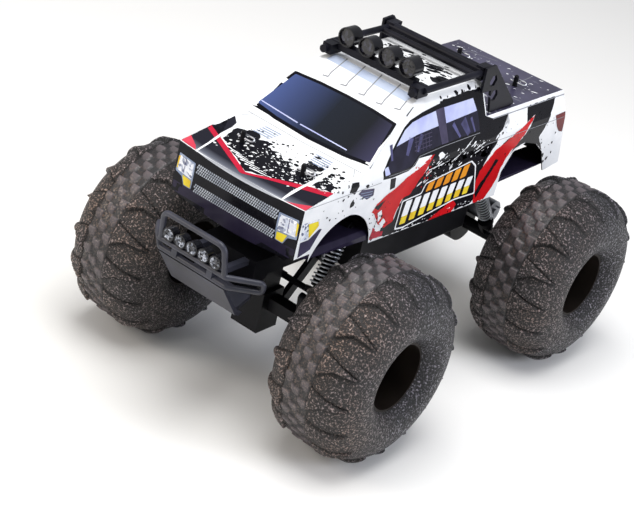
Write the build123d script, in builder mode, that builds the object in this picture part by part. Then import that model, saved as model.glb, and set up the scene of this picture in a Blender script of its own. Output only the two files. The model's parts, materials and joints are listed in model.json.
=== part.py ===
"""Toy remote control truck: moulded chassis, swing axles, coil-over shocks, balloon tyres and a
printed pickup shell.

Frame: the truck faces -Y, its left side is +X, +Z is up. The origin lies on the ground, halfway
between the bumper's front and the rear tyres' back.
"""
import math
import os

from build123d import *

os.makedirs("parts", exist_ok=True)

# ---- overall sizes, mm ----
wheelbase = 306.0
half_track = 120.0            # tyre mid-plane from the centre line
tyre_r = 90.0                 # over the lugs
tyre_width = 88.0
nose_overhang = 27.0          # bumper's front ahead of the front tyres
front_axle_y = -(wheelbase - nose_overhang) / 2
rear_axle_y = (wheelbase + nose_overhang) / 2
axle_z = tyre_r

# ---- clearances ----
run_gap = 0.05                # shaft in its bore, radial
side_gap = 0.4                # moving faces side by side
eye_gap = 0.6                 # open lower shock eye on its stud, radial

# ---- chassis ----
tub_half = 48.0
tub_floor_z = 117.0
tub_top_z = 156.0
tub_wall = 2.5
tub_front_y = front_axle_y + 68.0
tub_rear_y = rear_axle_y - 65.0
deck_half = 30.0
deck_thick = 5.0
nose_y = front_axle_y - 61.0
tail_y = rear_axle_y + 30.0
nose_wall_z = 121.0
lid_thick = 2.0
floor_z = tub_floor_z + tub_wall
deck_low_z = tub_top_z - deck_thick
cell_r = 7.2
cell_gap = 0.4
pack_half = 2 * (2 * cell_r + cell_gap)
door_half = pack_half + 1.4
door_length = 92.0
door_thick = 2.0
door_mid_y = tub_rear_y - 62.0
door_knuckle_r = 2.6
door_swing_gap = 1.4          # room for the door's lower edge as it turns down
hinge_pin_r = 1.0
switch_y = tub_front_y + 26.0
switch_travel = 5.0

# ---- suspension ----
pivot_z = 124.0
front_pivot_y = tub_front_y - 12.0
rear_pivot_y = tub_rear_y + 11.0
pivot_pin_r = 2.5
ear_half = 15.0               # inner face of the chassis ears
ear_thick = 4.0
ear_r = 6.0
arm_half = ear_half - side_gap
front_shock_x = 52.0
front_shock_top = (front_axle_y + 29.0, 179.0)
front_shock_low = (front_axle_y - 3.0, 112.0)
rear_shock_x = 47.0
rear_shock_top = (rear_axle_y - 57.0, 158.0)
rear_shock_low = (rear_axle_y - 13.0, 104.0)
shock_eye_r = 4.2
shock_stud_r = 2.0
shock_eye_half = 4.0
shock_can_r = 4.0
shock_rod_r = 1.7
spring_r = 6.6
spring_wire_r = 0.75
spring_turns = 8.5

# ---- steering ----
kingpin_x = 64.0
kingpin_r = 1.8
steer_reach = 22.0
beam_half_z = 6.0
stub_r = 3.0
stub_end_x = half_track + 12.0
steer_pin_r = 1.6
tie_z = 106.0
tie_thick = 3.0
servo_top_z = 121.0

# ---- rear drive ----
gear_module = 0.8
spur_teeth = 44
pinion_teeth = 10
gear_width = 6.0
mesh_distance = gear_module * (spur_teeth + pinion_teeth) / 2
mesh_angle = math.radians(67.0)
motor_y = rear_axle_y + mesh_distance * math.cos(mesh_angle)
motor_z = axle_z + mesh_distance * math.sin(mesh_angle)
motor_r = 12.0
motor_length = 25.0
case_half = 13.0
case_wall = 2.4
shaft_r = 3.0

# ---- wheels ----
rim_r = 34.0
rim_wall = 2.5
rim_half = 36.0
rim_web_u = 6.0
rim_web_thick = 4.0
hub_r = 8.0
nut_r = 5.5
nut_thick = 4.0
tyre_wall = 5.0
lug_count = 24

# ---- body shell ----
shell_wall = 1.2
body_half = 70.0
belt_z = 232.0
roof_half = 53.5
roof_z = 290.0
hood_front_z = 226.0
cowl_z = 241.0
bed_z = 253.5
sill_front_z = 167.0
sill_rear_z = 163.0
shell_front_y = front_axle_y - 71.0
shell_rear_top_y = rear_axle_y + 29.0
shell_rear_low_y = rear_axle_y + 50.0
cowl_y = front_axle_y + 13.0
screen_top_y = front_axle_y + 58.0
cab_rear_y = rear_axle_y - 108.0
post_x = 34.0
post_r = 4.0
post_tip_r = 2.3
post_tip_rise = 9.0
post_hole_gap = 0.7
front_post_y = front_axle_y - 29.7
rear_post_y = rear_axle_y - 16.6
clip_wire_r = 0.8

# ---- roof rack ----
rack_z = roof_z + 5.5
rack_bar_r = 3.2
rack_front_y = screen_top_y + 39.0
rack_rear_y = cab_rear_y - 14.0
rack_half = 50.0
roof_lamp_r = 9.0
roof_lamp_depth = 13.0
roof_lamp_pitch = 22.8
roof_lamp_z = rack_z + 13.8

# ---- bumper ----
bumper_tube_r = 2.6
bumper_front_y = front_axle_y - tyre_r - nose_overhang
hoop_half = 34.0
hoop_top_z = 188.0
bar_high_z = 160.0
bar_low_z = 150.0
loop_end_x = 60.0
loop_end_y = bumper_front_y + 31.0
bumper_lamp_r = 6.2
bumper_lamp_pitch = 13.2
bumper_lamp_z = bar_high_z + bumper_tube_r + bumper_lamp_r + 0.1
skid_half = 37.0
skid_thick = 3.0


def block(x, y, z, mode=Mode.ADD):
    """Box between two limits on each axis."""
    with Locations(((x[0] + x[1]) / 2, (y[0] + y[1]) / 2, (z[0] + z[1]) / 2)):
        Box(x[1] - x[0], y[1] - y[0], z[1] - z[0], mode=mode)


def rod_x(x, y, z, radius, mode=Mode.ADD):
    """Cylinder along X between two limits."""
    with Locations(((x[0] + x[1]) / 2, y, z)):
        Cylinder(radius, x[1] - x[0], rotation=(0, 90, 0), mode=mode)


def rod_y(x, y, z, radius, mode=Mode.ADD):
    """Cylinder along Y between two limits."""
    with Locations((x, (y[0] + y[1]) / 2, z)):
        Cylinder(radius, y[1] - y[0], rotation=(90, 0, 0), mode=mode)


def rod_z(x, y, z, radius, mode=Mode.ADD):
    """Cylinder along Z between two limits."""
    with Locations((x, y, (z[0] + z[1]) / 2)):
        Cylinder(radius, z[1] - z[0], mode=mode)


def plate_x(points, x, mode=Mode.ADD):
    """Plate of a side-view outline (y, z) between two limits on X."""
    with BuildSketch(Plane.YZ.offset(x[0])) as outline:
        Polygon(*points, align=None)
    extrude(outline.sketch, amount=x[1] - x[0], mode=mode)


def link_x(start, end, radius, x, mode=Mode.ADD):
    """Round-ended bar in the side view (y, z) between two limits on X."""
    with BuildSketch(Plane.YZ.offset(x[0])) as outline:
        with Locations(start):
            Circle(radius)
        with Locations(end):
            Circle(radius)
        make_hull()
    extrude(outline.sketch, amount=x[1] - x[0], mode=mode)


def tube(points, bend, radius):
    """Round tube along straight runs joined by bends."""
    with BuildLine() as route:
        FilletPolyline(*points, radius=bend)
    with BuildSketch(Plane(origin=route.line @ 0, z_dir=route.line % 0)) as section:
        Circle(radius)
    sweep(section.sketch, path=route.line)


def save(shape, label):
    shape.label = label
    export_step(shape, f"parts/{label}.step")


# ================= chassis =================
with BuildPart() as chassis_tub:
    block((-tub_half, tub_half), (tub_front_y, tub_rear_y), (tub_floor_z, tub_top_z))
    fillet(chassis_tub.edges().filter_by(Axis.Y).group_by(Axis.Z)[0], 3.0)
    block(
        (-tub_half + tub_wall, tub_half - tub_wall),
        (tub_front_y + tub_wall, tub_rear_y - tub_wall),
        (floor_z, tub_top_z + 1),
        mode=Mode.SUBTRACT,
    )
    block((-deck_half, deck_half), (nose_y, tub_front_y), (deck_low_z, tub_top_z))
    block((-deck_half, deck_half), (tub_rear_y, tail_y), (deck_low_z, tub_top_z))
    block((-deck_half, deck_half), (nose_y, nose_y + 4), (nose_wall_z, tub_top_z))
    for side in (-1, 1):
        rib_x = sorted((side * (deck_half - 3), side * deck_half))
        plate_x(
            [
                (nose_y, nose_wall_z),
                (nose_y + 22, deck_low_z - 12),
                (tub_front_y, deck_low_z - 12),
                (tub_front_y, deck_low_z),
                (nose_y, deck_low_z),
            ],
            rib_x,
        )
        block(rib_x, (tub_rear_y, tail_y), (deck_low_z - 6, deck_low_z))
        ear_x = sorted((side * ear_half, side * (ear_half + ear_thick)))
        link_x((front_pivot_y, pivot_z), (tub_front_y, pivot_z), ear_r, ear_x)
        link_x((rear_pivot_y, pivot_z), (tub_rear_y, pivot_z), ear_r, ear_x)
    rod_x((-ear_half - 9, ear_half + 9), front_pivot_y, pivot_z, pivot_pin_r, Mode.SUBTRACT)
    rod_x((-ear_half - 9, ear_half + 9), rear_pivot_y, pivot_z, pivot_pin_r, Mode.SUBTRACT)
    block(
        (-tub_half + tub_wall, tub_half - tub_wall),
        (tub_front_y + tub_wall, tub_rear_y - tub_wall),
        (floor_z, deck_low_z),
        mode=Mode.SUBTRACT,
    )
    block(
        (-door_half - side_gap, door_half + side_gap),
        (door_mid_y - door_length / 2 - side_gap, door_mid_y + door_length / 2 + door_swing_gap),
        (tub_floor_z - 1, floor_z + 1),
        mode=Mode.SUBTRACT,
    )
    block(
        (-20 - side_gap, 20 + side_gap),
        (door_mid_y + door_length / 2, door_mid_y + door_length / 2 + 7.2),
        (tub_floor_z - 1, floor_z + 1),
        mode=Mode.SUBTRACT,
    )
    rod_x((-11, 11), door_mid_y + door_length / 2 + 4.2, floor_z + 0.4, door_knuckle_r)
    block(
        (-11, 11),
        (door_mid_y + door_length / 2 + 4.2, door_mid_y + door_length / 2 + 8),
        (tub_floor_z + 0.2, floor_z + 1),
    )
    rod_x((-12, 12), door_mid_y + door_length / 2 + 4.2, floor_z + 0.4, hinge_pin_r + run_gap, Mode.SUBTRACT)
    block(
        (-3.4, 3.4),
        (switch_y - 3.4 - switch_travel, switch_y + 3.4),
        (tub_floor_z - 1, floor_z + 1),
        mode=Mode.SUBTRACT,
    )
    for side in (-1, 1):
        for y in (tub_front_y + 8, tub_rear_y - 8):
            rod_z(side * (tub_half - 8), y, (floor_z, tub_top_z - lid_thick), 4)
            rod_z(side * (tub_half - 8), y, (tub_top_z - 12, tub_top_z), 1.2, Mode.SUBTRACT)
        block(
            sorted((side * (door_half + 2), side * (door_half + 4))),
            (door_mid_y - door_length / 2, door_mid_y + door_length / 2),
            (floor_z, floor_z + 17),
        )
save(chassis_tub.part, "chassis_tub")

with BuildPart() as chassis_lid:
    block(
        (-tub_half + tub_wall, tub_half - tub_wall),
        (tub_front_y + tub_wall, tub_rear_y - tub_wall),
        (tub_top_z - lid_thick, tub_top_z),
    )
    for side in (-1, 1):
        for y in (tub_front_y + 8, tub_rear_y - 8):
            rod_z(side * (tub_half - 8), y, (tub_top_z - 5, tub_top_z + 1), 1.2, Mode.SUBTRACT)
    for step in range(-3, 4):
        block((-30, 30), (step * 12 - 1.2, step * 12 + 1.2), (tub_top_z, tub_top_z + 1.2))
save(chassis_lid.part, "chassis_lid")

with BuildPart() as chassis_screws:
    for side in (-1, 1):
        for y in (tub_front_y + 8, tub_rear_y - 8):
            rod_z(side * (tub_half - 8), y, (tub_top_z - 11, tub_top_z), 1.2)
            rod_z(side * (tub_half - 8), y, (tub_top_z, tub_top_z + 1.6), 2.6)
save(chassis_screws.part, "chassis_screws")

with BuildPart() as battery_door:
    block(
        (-door_half, door_half),
        (door_mid_y - door_length / 2, door_mid_y + door_length / 2),
        (tub_floor_z, tub_floor_z + door_thick),
    )
    for side in (-1, 1):
        knuckle = sorted((side * (11 + side_gap), side * 20))
        link_x(
            (door_mid_y + door_length / 2 - 2.4, tub_floor_z + 2.4),
            (door_mid_y + door_length / 2 + 4.2, floor_z + 0.4),
            2.3,
            knuckle,
        )
    rod_x((-20, 20), door_mid_y + door_length / 2 + 4.2, floor_z + 0.4, hinge_pin_r)
    for step in range(-2, 3):
        y = door_mid_y + step * 12
        block((-16, 16), (y - 1, y + 1), (tub_floor_z - 0.8, tub_floor_z))
save(battery_door.part, "battery_door")

with BuildPart() as battery_pack:
    for side in (-1, 1):
        for lane in (0.5, 1.5):
            rod_y(
                side * lane * (2 * cell_r + cell_gap),
                (door_mid_y - 38, door_mid_y + 38),
                floor_z + 1.2 + cell_r,
                cell_r,
            )
    block((-pack_half, pack_half), (door_mid_y - 41, door_mid_y - 38), (floor_z + 1.2, floor_z + 15))
    block((-pack_half, pack_half), (door_mid_y + 38, door_mid_y + 41), (floor_z + 1.2, floor_z + 15))
save(battery_pack.part, "battery_pack")

with BuildPart() as circuit_board:
    block((-32, 32), (tub_front_y + 10, tub_front_y + 56), (floor_z + 16, floor_z + 17.6))
    for x, y in ((-28, 14), (28, 14), (-28, 52), (28, 52)):
        rod_z(x, tub_front_y + y, (floor_z, floor_z + 16), 2.2)
    block((-12, 2), (tub_front_y + 20, tub_front_y + 32), (floor_z + 17.6, floor_z + 19.6))
    rod_z(16, tub_front_y + 24, (floor_z + 17.6, floor_z + 27), 4)
    block((6, 20), (tub_front_y + 38, tub_front_y + 50), (floor_z + 17.6, floor_z + 24))
save(circuit_board.part, "circuit_board")

with BuildPart() as power_switch:
    block((-6, 6), (switch_y - 6, switch_y + 6), (floor_z + 0.3, floor_z + 2.3))
    block((-3, 3), (switch_y - 3, switch_y + 3), (tub_floor_z - 1.5, floor_z + 0.3))
save(power_switch.part, "power_switch")

with BuildPart() as front_tower:
    tower_y = (front_shock_top[0] + shock_eye_r + 1.5, front_shock_top[0] + shock_eye_r + 5.5)
    half = front_shock_x + 6
    with BuildSketch(Plane.XZ.offset(-tower_y[1])):
        Polygon(
            (-deck_half, tub_top_z),
            (deck_half, tub_top_z),
            (half, front_shock_top[1] - 8),
            (half, front_shock_top[1] + 6),
            (half - 10, front_shock_top[1] + 6),
            (deck_half - 10, front_shock_top[1] - 4),
            (10 - deck_half, front_shock_top[1] - 4),
            (10 - half, front_shock_top[1] + 6),
            (-half, front_shock_top[1] + 6),
            (-half, front_shock_top[1] - 8),
            align=None,
        )
    extrude(amount=tower_y[1] - tower_y[0])
    block((-deck_half, deck_half), (tower_y[1], tower_y[1] + 8), (tub_top_z, tub_top_z + 3))
    for side in (-1, 1):
        cheek = side * (front_shock_x - shock_eye_half - side_gap)
        x = sorted((cheek, cheek - side * 3))
        block(x, (front_shock_top[0], tower_y[1]), (front_shock_top[1] - 5, front_shock_top[1] + 5))
        stud = sorted((cheek - side * 3, side * (front_shock_x + shock_eye_half + 2)))
        rod_x(stud, front_shock_top[0], front_shock_top[1], shock_stud_r)
save(front_tower.part, "front_tower")

with BuildPart() as rear_tower:
    half = rear_shock_x + 6
    tower_back = rear_shock_top[0] - shock_eye_r - 1.5
    with BuildSketch(Plane.XZ.offset(-(tub_rear_y))):
        Polygon(
            (-half + 12, tub_top_z),
            (half - 12, tub_top_z),
            (half, tub_top_z + 3),
            (half, rear_shock_top[1] + 7),
            (-half, rear_shock_top[1] + 7),
            (-half, tub_top_z + 3),
            align=None,
        )
    extrude(amount=4)
    for side in (-1, 1):
        cheek = side * (rear_shock_x - shock_eye_half - side_gap)
        x = sorted((cheek, cheek - side * 4))
        link_x(
            (tub_rear_y - 1, tub_top_z + 5), (rear_shock_top[0], rear_shock_top[1]), 4, x
        )
        stud = sorted((cheek - side * 4, side * (rear_shock_x + shock_eye_half + 2)))
        rod_x(stud, rear_shock_top[0], rear_shock_top[1], shock_stud_r)
save(rear_tower.part, "rear_tower")


def body_posts(y, shell_z):
    """Cross bar on the deck with two posts whose tips pass through the shell."""
    with BuildPart() as posts:
        block((-post_x - 6, post_x + 6), (y - 6, y + 6), (tub_top_z, tub_top_z + 4))
        for side in (-1, 1):
            rod_z(side * post_x, y, (tub_top_z + 4, shell_z - shell_wall - 1.1), post_r)
            rod_z(side * post_x, y, (shell_z - shell_wall - 1.1, shell_z + post_tip_rise), post_tip_r)
            with Locations((side * post_x, y, shell_z + post_tip_rise)):
                Sphere(post_tip_r)
            rod_x(
                (side * post_x - 4, side * post_x + 4),
                y,
                shell_z + 4,
                clip_wire_r + 0.1,
                Mode.SUBTRACT,
            )
    return posts.part


hood_slope = (cowl_z - hood_front_z) / (cowl_y - shell_front_y)
front_post_z = hood_front_z + hood_slope * (front_post_y - shell_front_y)
save(body_posts(front_post_y, front_post_z), "front_posts")
save(body_posts(rear_post_y, bed_z), "rear_posts")

with BuildPart() as body_clips:
    for y, z in ((front_post_y, front_post_z), (rear_post_y, bed_z)):
        for side in (-1, 1):
            x = side * post_x
            tube(
                [
                    (x - 6, y, z + 4),
                    (x + 9, y, z + 4),
                    (x + 13, y + 1.6, z + 5.2),
                    (x + 9, y + post_tip_r + clip_wire_r + 0.2, z + 6.4),
                    (x - 5, y + post_tip_r + clip_wire_r + 0.2, z + 6),
                ],
                1.6,
                clip_wire_r,
            )
save(body_clips.part, "body_clips")


# ================= printed shell =================
def shell_block(inset):
    """Closed outer form of the pickup shell, or its inner form when inset."""
    with BuildPart() as form:
        with BuildSketch(Plane.YZ):
            Polygon(
                (shell_front_y + 5, 150),
                (shell_front_y + 4, 176),
                (shell_front_y, hood_front_z - 2),
                (shell_front_y + 2, hood_front_z),
                (cowl_y, cowl_z),
                (screen_top_y, 273),
                (screen_top_y + 13, 281.5),
                (screen_top_y + 42, roof_z - 1.6),
                (screen_top_y + 90, roof_z),
                (cab_rear_y - 8, roof_z - 4),
                (cab_rear_y, bed_z),
                (shell_rear_top_y - 2, bed_z),
                (shell_rear_top_y, bed_z - 2),
                (shell_rear_low_y, 172),
                (shell_rear_low_y + 3, 150),
                align=None,
            )
            if inset:
                offset(amount=-inset, kind=Kind.INTERSECTION)
        extrude(amount=body_half * 2, both=True)
        with BuildSketch(Plane.XZ):
            Polygon(
                (-body_half, 150),
                (body_half, 150),
                (body_half, belt_z - 6),
                (body_half - 0.6, belt_z),
                (roof_half + 1.4, roof_z - 7),
                (roof_half - 2.5, roof_z - 3.5),
                (20, roof_z + 1),
                (-20, roof_z + 1),
                (2.5 - roof_half, roof_z - 3.5),
                (-roof_half - 1.4, roof_z - 7),
                (0.6 - body_half, belt_z),
                (-body_half, belt_z - 6),
                align=None,
            )
            if inset:
                offset(amount=-inset, kind=Kind.INTERSECTION)
        extrude(amount=wheelbase + 200, both=True, mode=Mode.INTERSECT)
        with BuildSketch(Plane.XY):
            with BuildLine():
                edge_y = shell_front_y + 4 + inset
                edge_x = body_half - inset
                back_y = shell_rear_low_y + 10
                ThreePointArc((-edge_x, edge_y), (0, edge_y - 4), (edge_x, edge_y))
                Polyline((edge_x, edge_y), (edge_x, back_y), (-edge_x, back_y), (-edge_x, edge_y))
            make_face()
        extrude(amount=400, mode=Mode.INTERSECT)
    return form.part


inner_form = shell_block(shell_wall)
with BuildPart() as body_shell:
    add(shell_block(0))
    add(inner_form, mode=Mode.SUBTRACT)
    with BuildSketch(Plane.YZ.offset(-body_half - 5)):
        with BuildLine():
            arch = front_axle_y
            Polyline(
                (arch - 44, 176.7), (arch - 46, 172.5), (arch - 90, 172.5), (arch - 90, 140),
                (rear_axle_y + 80, 140), (rear_axle_y + 80, 176), (rear_axle_y + 21.6, 169.6),
                (rear_axle_y + 8.3, 193.7), (rear_axle_y - 8.5, 206), (rear_axle_y - 30.3, 212),
                (rear_axle_y - 50, 206.5), (rear_axle_y - 62.5, 188), (rear_axle_y - 63, sill_rear_z),
                (arch + 40.3, sill_front_z),
            )
            ThreePointArc((arch + 40.3, sill_front_z), (arch + 28, 192), (arch + 2, 205))
            ThreePointArc((arch + 2, 205), (arch - 20, 200), (arch - 44, 176.7))
        make_face()
    extrude(amount=2 * body_half + 10, mode=Mode.SUBTRACT)
    with BuildSketch(Plane.XZ.offset(-(front_axle_y - 46))):
        with BuildLine():
            ThreePointArc((-body_half - 5, 181.6), (0, 173.5), (body_half + 5, 181.6))
            Polyline(
                (body_half + 5, 181.6), (body_half + 5, 140), (-body_half - 5, 140), (-body_half - 5, 181.6)
            )
        make_face()
    extrude(amount=60, mode=Mode.SUBTRACT)
    for y, z in ((front_post_y, front_post_z), (rear_post_y, bed_z)):
        for side in (-1, 1):
            rod_z(side * post_x, y, (z - 12, z + 12), post_tip_r + post_hole_gap, Mode.SUBTRACT)
save(body_shell.part, "body_shell")

# ================= roof rack =================
with BuildPart() as roof_rack:
    for side in (-1, 1):
        rail = side * (rack_half + 4)
        rod_y(rail, (rack_front_y - 4, rack_rear_y + 8), rack_z, rack_bar_r)
        block(
            sorted((side * (rack_half - 6), side * (rack_half + 4))),
            (rack_front_y - 12, rack_front_y + 4),
            (roof_z - 1.0, rack_z + 3),
        )
        rod_y(side * rack_half, (rack_front_y - 16, rack_front_y - 8), rack_z - 2, 3.6)
        block(
            sorted((side * (rack_half - 2), side * (rack_half + 6))),
            (rack_rear_y - 2, rack_rear_y + 12),
            (roof_z - 1.5, rack_z + 6),
        )
    rod_x((-rack_half - 3, rack_half + 3), rack_front_y, rack_z, 3.6)
    block((-42, 42), (rack_front_y - 5, rack_front_y + 5), (rack_z - 1, rack_z + 4.5))
    rod_x((-rack_half - 2, rack_half + 2), rack_rear_y - 10, rack_z - 0.5, 2.8)
    rod_x((-rack_half - 3, rack_half + 3), rack_rear_y + 2, rack_z + 1.5, 4.6)
    add(shell_block(0), mode=Mode.SUBTRACT)
save(roof_rack.part, "roof_rack")

with BuildPart() as rack_side_plates:
    for side in (-1, 1):
        x = sorted((side * (rack_half + 8), side * (rack_half + 10.5)))
        plate_x(
            [
                (rack_rear_y - 1, roof_z - 12),
                (rack_rear_y - 3, rack_z + 7),
                (rack_rear_y + 12, rack_z + 8),
                (rack_rear_y + 62, bed_z + 4),
                (rack_rear_y + 62, bed_z + 1.5),
                (rack_rear_y + 22, bed_z + 1.5),
                (rack_rear_y + 14, roof_z - 12),
            ],
            x,
        )
        with BuildSketch(Plane.YZ.offset(x[0])):
            with Locations((rack_rear_y + 22, bed_z + 18), (rack_rear_y + 14, bed_z + 34)):
                RegularPolygon(6, 6)
        extrude(amount=x[1] - x[0], mode=Mode.SUBTRACT)
        foot = sorted((side * (body_half - 10), side * (rack_half + 8)))
        block(foot, (rack_rear_y + 24, rack_rear_y + 60), (bed_z, bed_z + 2.5))
        block(
            sorted((side * (rack_half + 6), side * (rack_half + 8))),
            (rack_rear_y + 8.2, rack_rear_y + 12),
            (roof_z + 2, rack_z + 5),
        )
    add(shell_block(0), mode=Mode.SUBTRACT)
save(rack_side_plates.part, "rack_side_plates")

lamp_front_y = rack_front_y - 1 - roof_lamp_depth / 2
with BuildPart() as roof_lamps:
    for step in (-1.5, -0.5, 0.5, 1.5):
        x = step * roof_lamp_pitch
        rod_y(x, (lamp_front_y, lamp_front_y + roof_lamp_depth), roof_lamp_z, roof_lamp_r)
        rod_y(x, (lamp_front_y - 1, lamp_front_y + 5), roof_lamp_z, roof_lamp_r - 1.2, Mode.SUBTRACT)
        block((x - 3, x + 3), (rack_front_y - 4, rack_front_y + 4), (rack_z + 4.5, roof_lamp_z - roof_lamp_r + 1.0))
save(roof_lamps.part, "roof_lamps")

with BuildPart() as roof_lamp_lenses:
    for step in (-1.5, -0.5, 0.5, 1.5):
        x = step * roof_lamp_pitch
        rod_y(x, (lamp_front_y + 2, lamp_front_y + 5), roof_lamp_z, roof_lamp_r - 1.2)
save(roof_lamp_lenses.part, "roof_lamp_lenses")

# ================= bumper =================
tube_front_y = bumper_front_y + bumper_tube_r
with BuildPart() as bumper_frame:
    tube(
        [
            (-hoop_half - 2, tube_front_y + 5, bar_high_z),
            (-hoop_half, tube_front_y, hoop_top_z),
            (hoop_half, tube_front_y, hoop_top_z),
            (hoop_half + 2, tube_front_y + 5, bar_high_z),
        ],
        7.0,
        bumper_tube_r,
    )
    loop_mid_x = hoop_half + 4
    for side in (-1, 1):
        tube(
            [
                (0, tube_front_y + 5, bar_high_z),
                (side * loop_mid_x, tube_front_y + 5, bar_high_z),
                (side * loop_end_x, loop_end_y, bar_high_z - 2),
                (side * loop_end_x, loop_end_y, bar_low_z),
                (side * loop_mid_x, tube_front_y + 8, bar_low_z),
                (0, tube_front_y + 8, bar_low_z),
            ],
            3.4,
            bumper_tube_r,
        )
    for x in (-20, 20):
        block((x - 3, x + 3), (tube_front_y + 5, tube_front_y + 8), (bar_low_z, bar_high_z))
        block((x - 3, x + 3), (tube_front_y + 5, nose_y), (bar_low_z, bar_low_z + 5))
save(bumper_frame.part, "bumper_frame")

skid_top = (tube_front_y + 6.2, bar_low_z - bumper_tube_r - 0.3)
skid_low = (tube_front_y + 33, tub_floor_z - 3)
with BuildPart() as skid_plate:
    plate_x(
        [
            skid_top,
            (skid_top[0] + skid_thick, skid_top[1]),
            (skid_low[0] + 1, skid_low[1] + skid_thick),
            (nose_y, nose_wall_z + 4),
            (nose_y, nose_wall_z),
            (skid_low[0] + 2, skid_low[1] - 1),
            (skid_low[0] - 3, skid_low[1] + 1),
        ],
        (-skid_half, skid_half),
    )
    for side in (-1, 1):
        corner = sorted((side * (deck_half + 2), side * (skid_half + 1)))
        block(corner, (skid_low[0] + 2, nose_y + 1), (nose_wall_z - 6, nose_wall_z + 8), Mode.SUBTRACT)
save(skid_plate.part, "skid_plate")

bumper_lamp_y = tube_front_y + 1.0
with BuildPart() as bumper_lamps:
    for step in range(-2, 3):
        x = step * bumper_lamp_pitch
        rod_y(x, (bumper_lamp_y, bumper_lamp_y + 8), bumper_lamp_z, bumper_lamp_r)
        rod_y(x, (bumper_lamp_y - 1, bumper_lamp_y + 1.5), bumper_lamp_z, bumper_lamp_r - 1, Mode.SUBTRACT)
save(bumper_lamps.part, "bumper_lamps")

with BuildPart() as bumper_lamp_lenses:
    for step in range(-2, 3):
        x = step * bumper_lamp_pitch
        rod_y(x, (bumper_lamp_y + 0.2, bumper_lamp_y + 1.5), bumper_lamp_z, bumper_lamp_r - 1)
        for turn in range(6):
            angle = math.radians(60 * turn)
            dx = 3.2 * math.cos(angle)
            dz = 3.2 * math.sin(angle)
            rod_y(x + dx, (bumper_lamp_y - 0.6, bumper_lamp_y + 0.2), bumper_lamp_z + dz, 1.2)
save(bumper_lamp_lenses.part, "bumper_lamp_lenses")

# ================= front axle and steering =================
beam_z = (axle_z - beam_half_z, axle_z + beam_half_z)
ear_low_z = (beam_z[0] - side_gap - 4, beam_z[0] - side_gap)
ear_high_z = (beam_z[1] + side_gap, beam_z[1] + side_gap + 4)
with BuildPart() as front_axle_housing:
    block((-kingpin_x, kingpin_x), (front_axle_y - 7, front_axle_y + 7), beam_z)
    for side in (-1, 1):
        rod_z(side * kingpin_x, front_axle_y, beam_z, 7)
        stud = front_shock_low
        cheek = side * (front_shock_x - shock_eye_half - side_gap)
        x = sorted((cheek, cheek - side * 4))
        link_x((front_axle_y, axle_z), stud, 4, x)
        rod_x(sorted((cheek, side * (front_shock_x + shock_eye_half + 1.5))), *stud, shock_stud_r)
    block((-15, 15), (front_axle_y - 16, front_axle_y + 12), (62, 102))
    link_x((front_axle_y + 8, axle_z - 14), (front_pivot_y, pivot_z), 5.0, (-arm_half, arm_half))
    block(
        (-arm_half + 5, arm_half - 5),
        (front_axle_y + 14, front_pivot_y + 8),
        (axle_z - 26, pivot_z + 8),
        mode=Mode.SUBTRACT,
    )
    rod_x((-arm_half - 1, arm_half + 1), front_pivot_y, pivot_z, pivot_pin_r + run_gap, Mode.SUBTRACT)
    for side in (-1, 1):
        rod_z(side * kingpin_x, front_axle_y, (60, 120), kingpin_r, Mode.SUBTRACT)
save(front_axle_housing.part, "front_axle_housing")

with BuildPart() as kingpins:
    for side in (-1, 1):
        rod_z(side * kingpin_x, front_axle_y, (ear_low_z[0] - 0.5, ear_high_z[1] + 0.5), kingpin_r)
        rod_z(side * kingpin_x, front_axle_y, (ear_high_z[1] + 0.5, ear_high_z[1] + 2), 3.2)
save(kingpins.part, "kingpins")

with BuildPart() as steering_servo:
    block((-11, 11), (front_axle_y - 14, front_axle_y + 9), (102, servo_top_z))
    rod_z(0, front_axle_y, (servo_top_z, servo_top_z + 1), 5)
save(steering_servo.part, "steering_servo")

tie_y = front_axle_y + steer_reach
arm_low_z = servo_top_z + 1 + side_gap
with BuildPart() as servo_arm:
    with BuildSketch(Plane.XY.offset(arm_low_z)):
        with Locations((0, front_axle_y)):
            Circle(5)
        with Locations((0, tie_y)):
            Circle(3)
        make_hull()
    extrude(amount=3)
    rod_z(0, tie_y, (tie_z - tie_thick / 2 - 1, arm_low_z), steer_pin_r)
save(servo_arm.part, "servo_arm")

slot_half = steer_pin_r + 0.35
with BuildPart() as tie_rod:
    tie_low_z = tie_z - tie_thick / 2
    block((-kingpin_x, kingpin_x), (tie_y - 3, tie_y + 3), (tie_low_z, tie_low_z + tie_thick))
    for x in (-kingpin_x, 0, kingpin_x):
        block((x - 5, x + 5), (tie_y - 5.5, tie_y + 4.5), (tie_low_z, tie_low_z + tie_thick))
    for x in (-kingpin_x, 0, kingpin_x):
        with BuildSketch(Plane.XY.offset(tie_low_z - 1)):
            with Locations((x, tie_y - 0.6)):
                SlotOverall(2 * slot_half + 1.6, 2 * slot_half, rotation=90)
        extrude(amount=tie_thick + 2, mode=Mode.SUBTRACT)
save(tie_rod.part, "tie_rod")


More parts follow.
